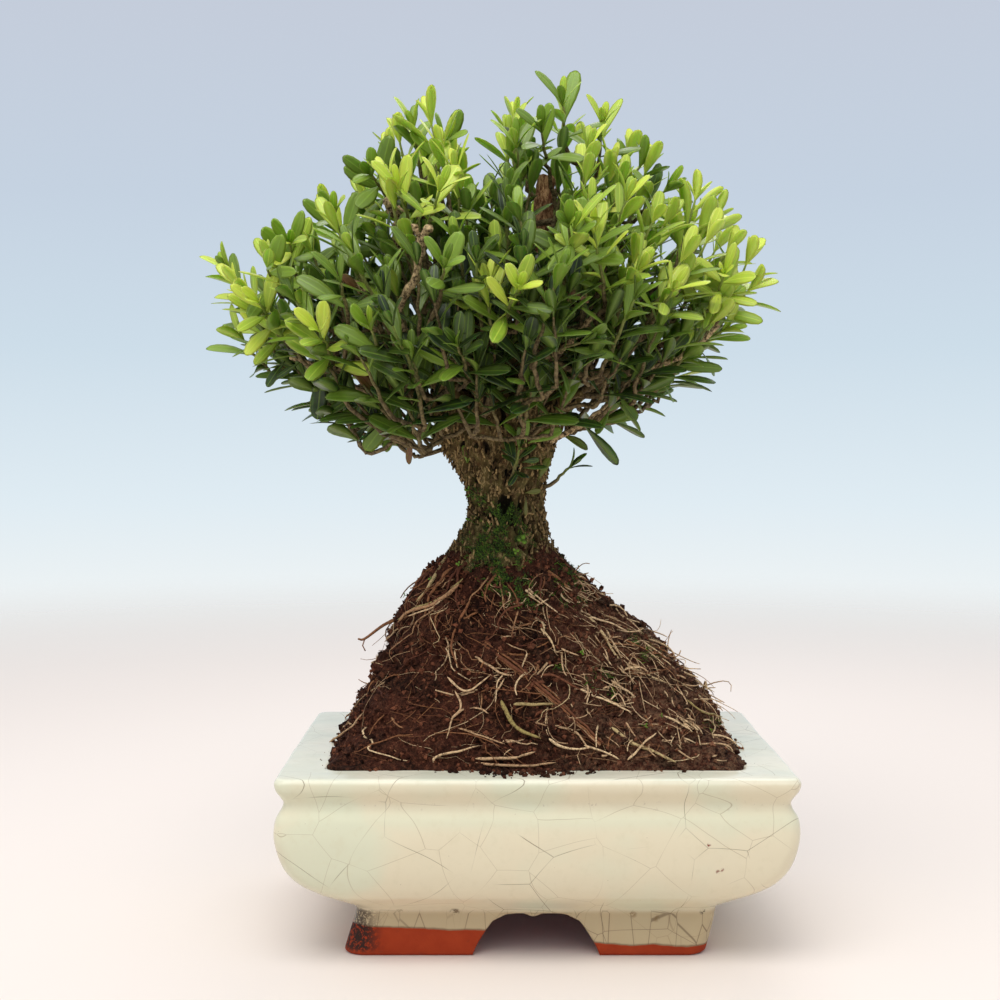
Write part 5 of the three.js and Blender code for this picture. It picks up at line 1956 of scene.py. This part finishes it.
# Backdrop, as [sine of the height above the horizon, colour], and the soft lamps
BACKDROP = [
    (-0.5, srgb(248, 242, 238)),
    (-0.24, srgb(251, 245, 240)),
    (-0.167, srgb(247, 245, 243)),
    (-0.1, srgb(238, 243, 244)),
    (-0.04, srgb(224, 236, 243)),
    (0.06, srgb(205, 221, 233)),
    (0.155, srgb(197, 210, 225)),
    (0.3, srgb(196, 203, 217)),
    (0.6, srgb(235, 238, 242)),
]
STUDIO_LIGHTS = [
    ("key", (-160, -430, 880), 620, 5.5, (1, 0.985, 0.95)),
    ("back", (150, 520, 760), 500, 1.6, (1, 0.99, 0.97)),
]


def studio():
    ring = np.arange(64) / 64 * FULL_TURN
    disc = np.column_stack([4000 * np.cos(ring), 4000 * np.sin(ring), np.zeros(64)])
    around = np.arange(64)
    points = np.vstack([disc, [[0, 0, 0]]])
    mesh = make_mesh("floor", points, [np.stack([around, (around + 1) % 64, np.full(64, 64)], -1)])
    mesh.materials.append(floor_look())
    in_scene("floor", mesh)

    world = bpy.data.worlds.new("studio")
    bpy.context.scene.world = world
    world.use_nodes = True
    tree = world.node_tree
    place = tree.nodes.new("ShaderNodeTexCoord")
    split = tree.nodes.new("ShaderNodeSeparateXYZ")
    height = tree.nodes.new("ShaderNodeMapRange")
    ramp = tree.nodes.new("ShaderNodeValToRGB")
    tree.links.new(place.outputs["Generated"], split.inputs[0])
    tree.links.new(split.outputs["Z"], height.inputs["Value"])
    height.inputs["From Min"].default_value = BACKDROP[0][0]
    height.inputs["From Max"].default_value = BACKDROP[-1][0]
    tree.links.new(height.outputs["Result"], ramp.inputs[0])
    tree.links.new(ramp.outputs["Color"], tree.nodes["Background"].inputs["Color"])
    span = BACKDROP[-1][0] - BACKDROP[0][0]
    fill_ramp(ramp.color_ramp, [((rise - BACKDROP[0][0]) / span, color) for rise, color in BACKDROP])

    for name, place_mm, size_mm, power, color in STUDIO_LIGHTS:
        light = bpy.data.lights.new(name, "AREA")
        light.size = size_mm * MM
        light.energy = power
        light.color = color
        lamp = in_scene(name, light)
        place_m = np.array(place_mm, float) * MM + POT_CENTRE
        lamp.location = place_m
        aim = np.array([0, 0, 0.16]) + POT_CENTRE - place_m
        lamp.rotation_euler = look_along(aim)
    bpy.context.scene.view_settings.view_transform = "Standard"


def look_along(aim):
    """The turn of a camera or lamp that looks along a direction."""
    level = math.hypot(aim[0], aim[1])
    return (math.atan2(level, -aim[2]), 0, math.atan2(aim[1], aim[0]) - math.pi / 2)


def camera():
    data = bpy.data.cameras.new("camera")
    data.sensor_width = SENSOR_WIDTH
    data.lens = SENSOR_WIDTH * PHOTO_FOCAL / PHOTO_SIDE
    view = in_scene("camera", data)
    view.location = CAMERA_PLACE * MM + POT_CENTRE
    view.rotation_euler = (math.pi / 2 - CAMERA_PITCH, 0, 0)
    bpy.context.scene.camera = view


def plant():
    boughs = crown_boughs()
    crown = crown_stems(boughs)
    stems = crown + [trunk_shoot(**shoot) for shoot in TRUNK_SHOOTS]
    shoots = photo_shoots()
    shoots += extra_shoots([stem["line"][1] for stem in stems + shoots])
    join_to_wood(shoots, boughs, crown)
    add_piece(wood_mesh(boughs), bark_look(), ["trunk_and_boughs"])
    add_piece(flakes_mesh(), flake_look())
    add_piece(twigs_mesh(boughs, stems, shoots), twig_look())

    by_bough = {}
    for number, stem in enumerate(stems):
        # Youth and painted light, set by where the stem's tip sits in the crown
        youth_and_painted_light = float(np.clip(lightness(stem["line"][1]) + 0.1 * RANDOM.normal(), 0, 1))
        leaves = stem_leaves(stem, seeded(100 + number), youth_and_painted_light, 1)
        entry = by_bough.setdefault(stem["number"], {"nodes": [], "leaves": []})
        entry["nodes"].append(f"leafy_stem_{number + 1:02d}")
        entry["leaves"] += leaves
    for number, shoot in enumerate(shoots):
        leaves = stem_leaves(shoot, seeded(500 + number), shoot["youth_and_painted_light"], 1)
        leaves = [leaf for leaf in leaves if leaves_a_gap_free(leaf)]
        by_bough.setdefault(shoot["number"], {"nodes": [], "leaves": []})["leaves"] += leaves

    # Two copies of one green, dark to light: the darker for mature leaves and painted shade, the lighter for
    # young leaves and painted light
    mature_and_shaded = leaf_look("mature_leaf", srgb(32, 46, 22), srgb(124, 151, 46), 0.38, 0.1)
    young_and_lit = leaf_look("young_leaf", srgb(128, 156, 46), srgb(196, 211, 78), 0.42, 0.22)
    for number, entry in sorted(by_bough.items()):
        green = np.array([leaf[4] for leaf in entry["leaves"]])
        green = green + UNEVEN_YOUTH_AND_PAINTED_LIGHT * RANDOM.normal(size=len(green))
        any_young_and_lit = (green >= YOUNG_AND_LIT_FROM).any()
        for name, look, chosen, low in (
            ("mature_and_shaded_leaves", mature_and_shaded, green < YOUNG_AND_LIT_FROM, 0.0),
            ("young_and_lit_leaves", young_and_lit, green >= YOUNG_AND_LIT_FROM, YOUNG_AND_LIT_FROM),
        ):
            leaves = [leaf for leaf, yes in zip(entry["leaves"], chosen) if yes]
            if not leaves:
                continue
            tone = (green[chosen] - low) / YOUNG_AND_LIT_FROM + 0.18 * RANDOM.normal(size=len(leaves))
            tone = np.clip(tone, 0, 1)
            behind = np.array([leaf[0][1] for leaf in leaves]) > DEAD_BEHIND
            dead = ((RANDOM.rand(len(leaves)) < DEAD_SHARE) & behind & (low == 0)).astype(float)
            soup = Soup()
            leaf_soup(soup, leaves, tone, dead)
            nodes = entry["nodes"] if low == YOUNG_AND_LIT_FROM or not any_young_and_lit else ()
            add_piece(soup.mesh(f"{name}_{number + 1:02d}"), look, nodes)
    hanging = hanging_leaves()
    soup = Soup()
    dry, light = np.array([leaf[4:] for leaf in hanging]).T
    leaf_soup(soup, hanging, light, dry)
    add_piece(soup.mesh("hanging_leaves"), mature_and_shaded)


camera()
studio()
pot = add_piece(pot_mesh(), glaze_look(), ["pot"])
drilled(pot)
add_piece(peat_mesh(), peat_look("peat"), ["root_ball"])
add_piece(crumbs_mesh(), peat_look("peat_crumb", crumb=True))
add_piece(roots_mesh(), root_look())
plant()
add_piece(moss_mesh(), moss_look())
add_piece(weeds_mesh(), moss_look())
screen = screen_look()
for node in ("drain_screen_left", "drain_screen_right"):
    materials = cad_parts[node].data.materials
    materials.clear()
    materials.append(screen)
